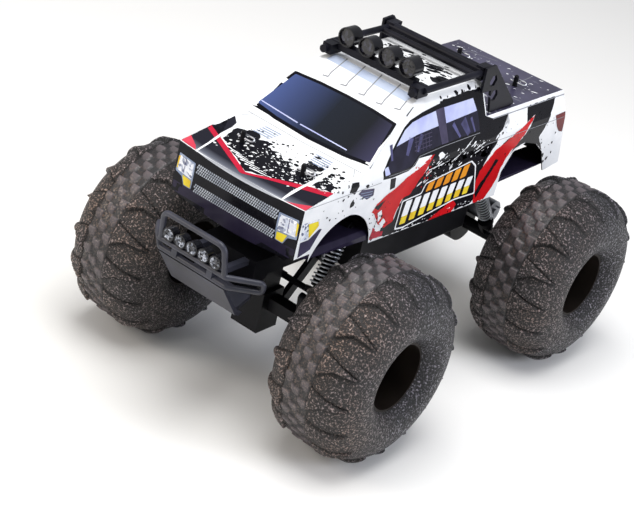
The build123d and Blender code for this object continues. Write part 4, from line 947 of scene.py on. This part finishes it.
for end, turns in (("front", 12), ("rear", 9)):
    for side in ("left", "right"):
        shock = f"shock_{end}_{side}"
        low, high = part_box(shock + "_spring")
        middle = (low + high) / 2
        axis = SHOCK_AXIS[end]
        coil_r = 6.6 * MM
        outer = coil_r + 0.8 * MM
        length = ((high - low).z - 2 * outer * abs(axis.y)) / abs(axis.z)
        wire = bmesh.new()
        ring = bmesh.ops.create_circle(wire, segments=8, radius=0.85 * MM)["verts"]
        bmesh.ops.rotate(wire, verts=ring, cent=(0, 0, 0), matrix=Matrix.Rotation(math.pi / 2, 3, "X"))
        rise = length - 1.7 * MM
        bmesh.ops.translate(wire, verts=ring, vec=(coil_r, 0, -rise / 2))
        steps = turns * 22
        bmesh.ops.spin(
            wire, geom=wire.verts[:] + wire.edges[:], cent=(0, 0, 0), axis=(0, 0, 1),
            angle=2 * math.pi * turns, steps=steps, dvec=(0, 0, rise / steps), use_merge=False,
        )
        bmesh.ops.holes_fill(wire, edges=[e for e in wire.edges if e.is_boundary])
        bmesh.ops.recalc_face_normals(wire, faces=wire.faces)
        on_shock(wire, middle, axis)
        coil = finish_piece("coil_" + shock, wire, [SPRING], None, [shock + "_spring"])
        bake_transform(coil)
        boot = bmesh.new()
        ring = bmesh.ops.create_circle(boot, segments=32, radius=4.9 * MM)["verts"]
        bmesh.ops.translate(boot, verts=ring, vec=(0, 0, -length / 2))
        edges = boot.edges[:]
        for fold in range(24):
            grown = bmesh.ops.extrude_edge_only(boot, edges=edges)["geom"]
            verts = [g for g in grown if isinstance(g, bmesh.types.BMVert)]
            edges = [g for g in grown if isinstance(g, bmesh.types.BMEdge)]
            wide = 5.4 / 4.9 if fold % 2 == 0 else 4.9 / 5.4
            bmesh.ops.translate(boot, verts=verts, vec=(0, 0, length / 24))
            bmesh.ops.scale(boot, verts=verts, vec=(wide, wide, 1))
        bmesh.ops.holes_fill(boot, edges=[e for e in boot.edges if e.is_boundary])
        bmesh.ops.recalc_face_normals(boot, faces=boot.faces)
        on_shock(boot, middle, axis)
        sleeve = finish_piece("boot_" + shock, boot, [BLACK_ABS], None)
        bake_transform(sleeve)


# ---------------- floor, light, camera ----------------
def floor():
    bm = bmesh.new()
    bmesh.ops.create_grid(bm, x_segments=2, y_segments=2, size=6.0)
    mesh = bpy.data.meshes.new("studio_floor")
    bm.to_mesh(mesh)
    bm.free()
    made, tree, shader, place = blank("pale_studio_paper", 0.9, specular=0.2)
    shader.inputs["Base Color"].default_value = tint("#f2f1ee")
    mesh.materials.append(made)
    sheet = bpy.data.objects.new("studio_floor", mesh)
    bpy.context.scene.collection.objects.link(sheet)


floor()
AIR_GLOW = 0.42  # soft fill from all round
world = bpy.data.worlds.new("studio_air")
bpy.context.scene.world = world
world.use_nodes = True
world.node_tree.nodes["Background"].inputs["Color"].default_value = tint("#f4f6fb")
world.node_tree.nodes["Background"].inputs["Strength"].default_value = AIR_GLOW


def lamp(name, spot, target, size, power, colour):
    light = bpy.data.lights.new(name, "AREA")
    light.energy = power
    light.size = size
    light.color = tint(colour)[:3]
    holder = bpy.data.objects.new(name, light)
    holder.location = spot
    holder.rotation_euler = (Vector(target) - Vector(spot)).to_track_quat("-Z", "Y").to_euler()
    bpy.context.scene.collection.objects.link(holder)


lamp("top_softbox", (0.1, -0.3, 1.9), (0, 0, 0.1), size=1.4, power=34, colour="#ffffff")
lamp("left_front_softbox", (-1.2, -1.5, 1.0), (0, 0, 0.15), size=0.9, power=16, colour="#fff6ec")
lamp("right_rim_softbox", (1.7, 0.5, 0.9), (0, 0, 0.15), size=0.8, power=16, colour="#eef2ff")

eye = Vector((789.8, -1291.9, 866.7)) * MM
aim = Vector((-36.8, -3.3, 60.8)) * MM
back = (eye - aim).normalized()
right = Vector((0, 0, 1)).cross(back).normalized()
up = back.cross(right)
roll = math.radians(13.87)
side_axis = right * math.cos(roll) + up * math.sin(roll)
up_axis = up * math.cos(roll) - right * math.sin(roll)
camera_data = bpy.data.cameras.new("studio_camera")
camera_data.lens = 101.9
camera_data.sensor_width = 36.0
camera = bpy.data.objects.new("studio_camera", camera_data)
turn = Matrix((side_axis, up_axis, back)).transposed().to_4x4()
camera.matrix_world = Matrix.Translation(eye) @ turn
bpy.context.scene.collection.objects.link(camera)
bpy.context.scene.camera = camera
bpy.context.scene.view_settings.view_transform = "Standard"
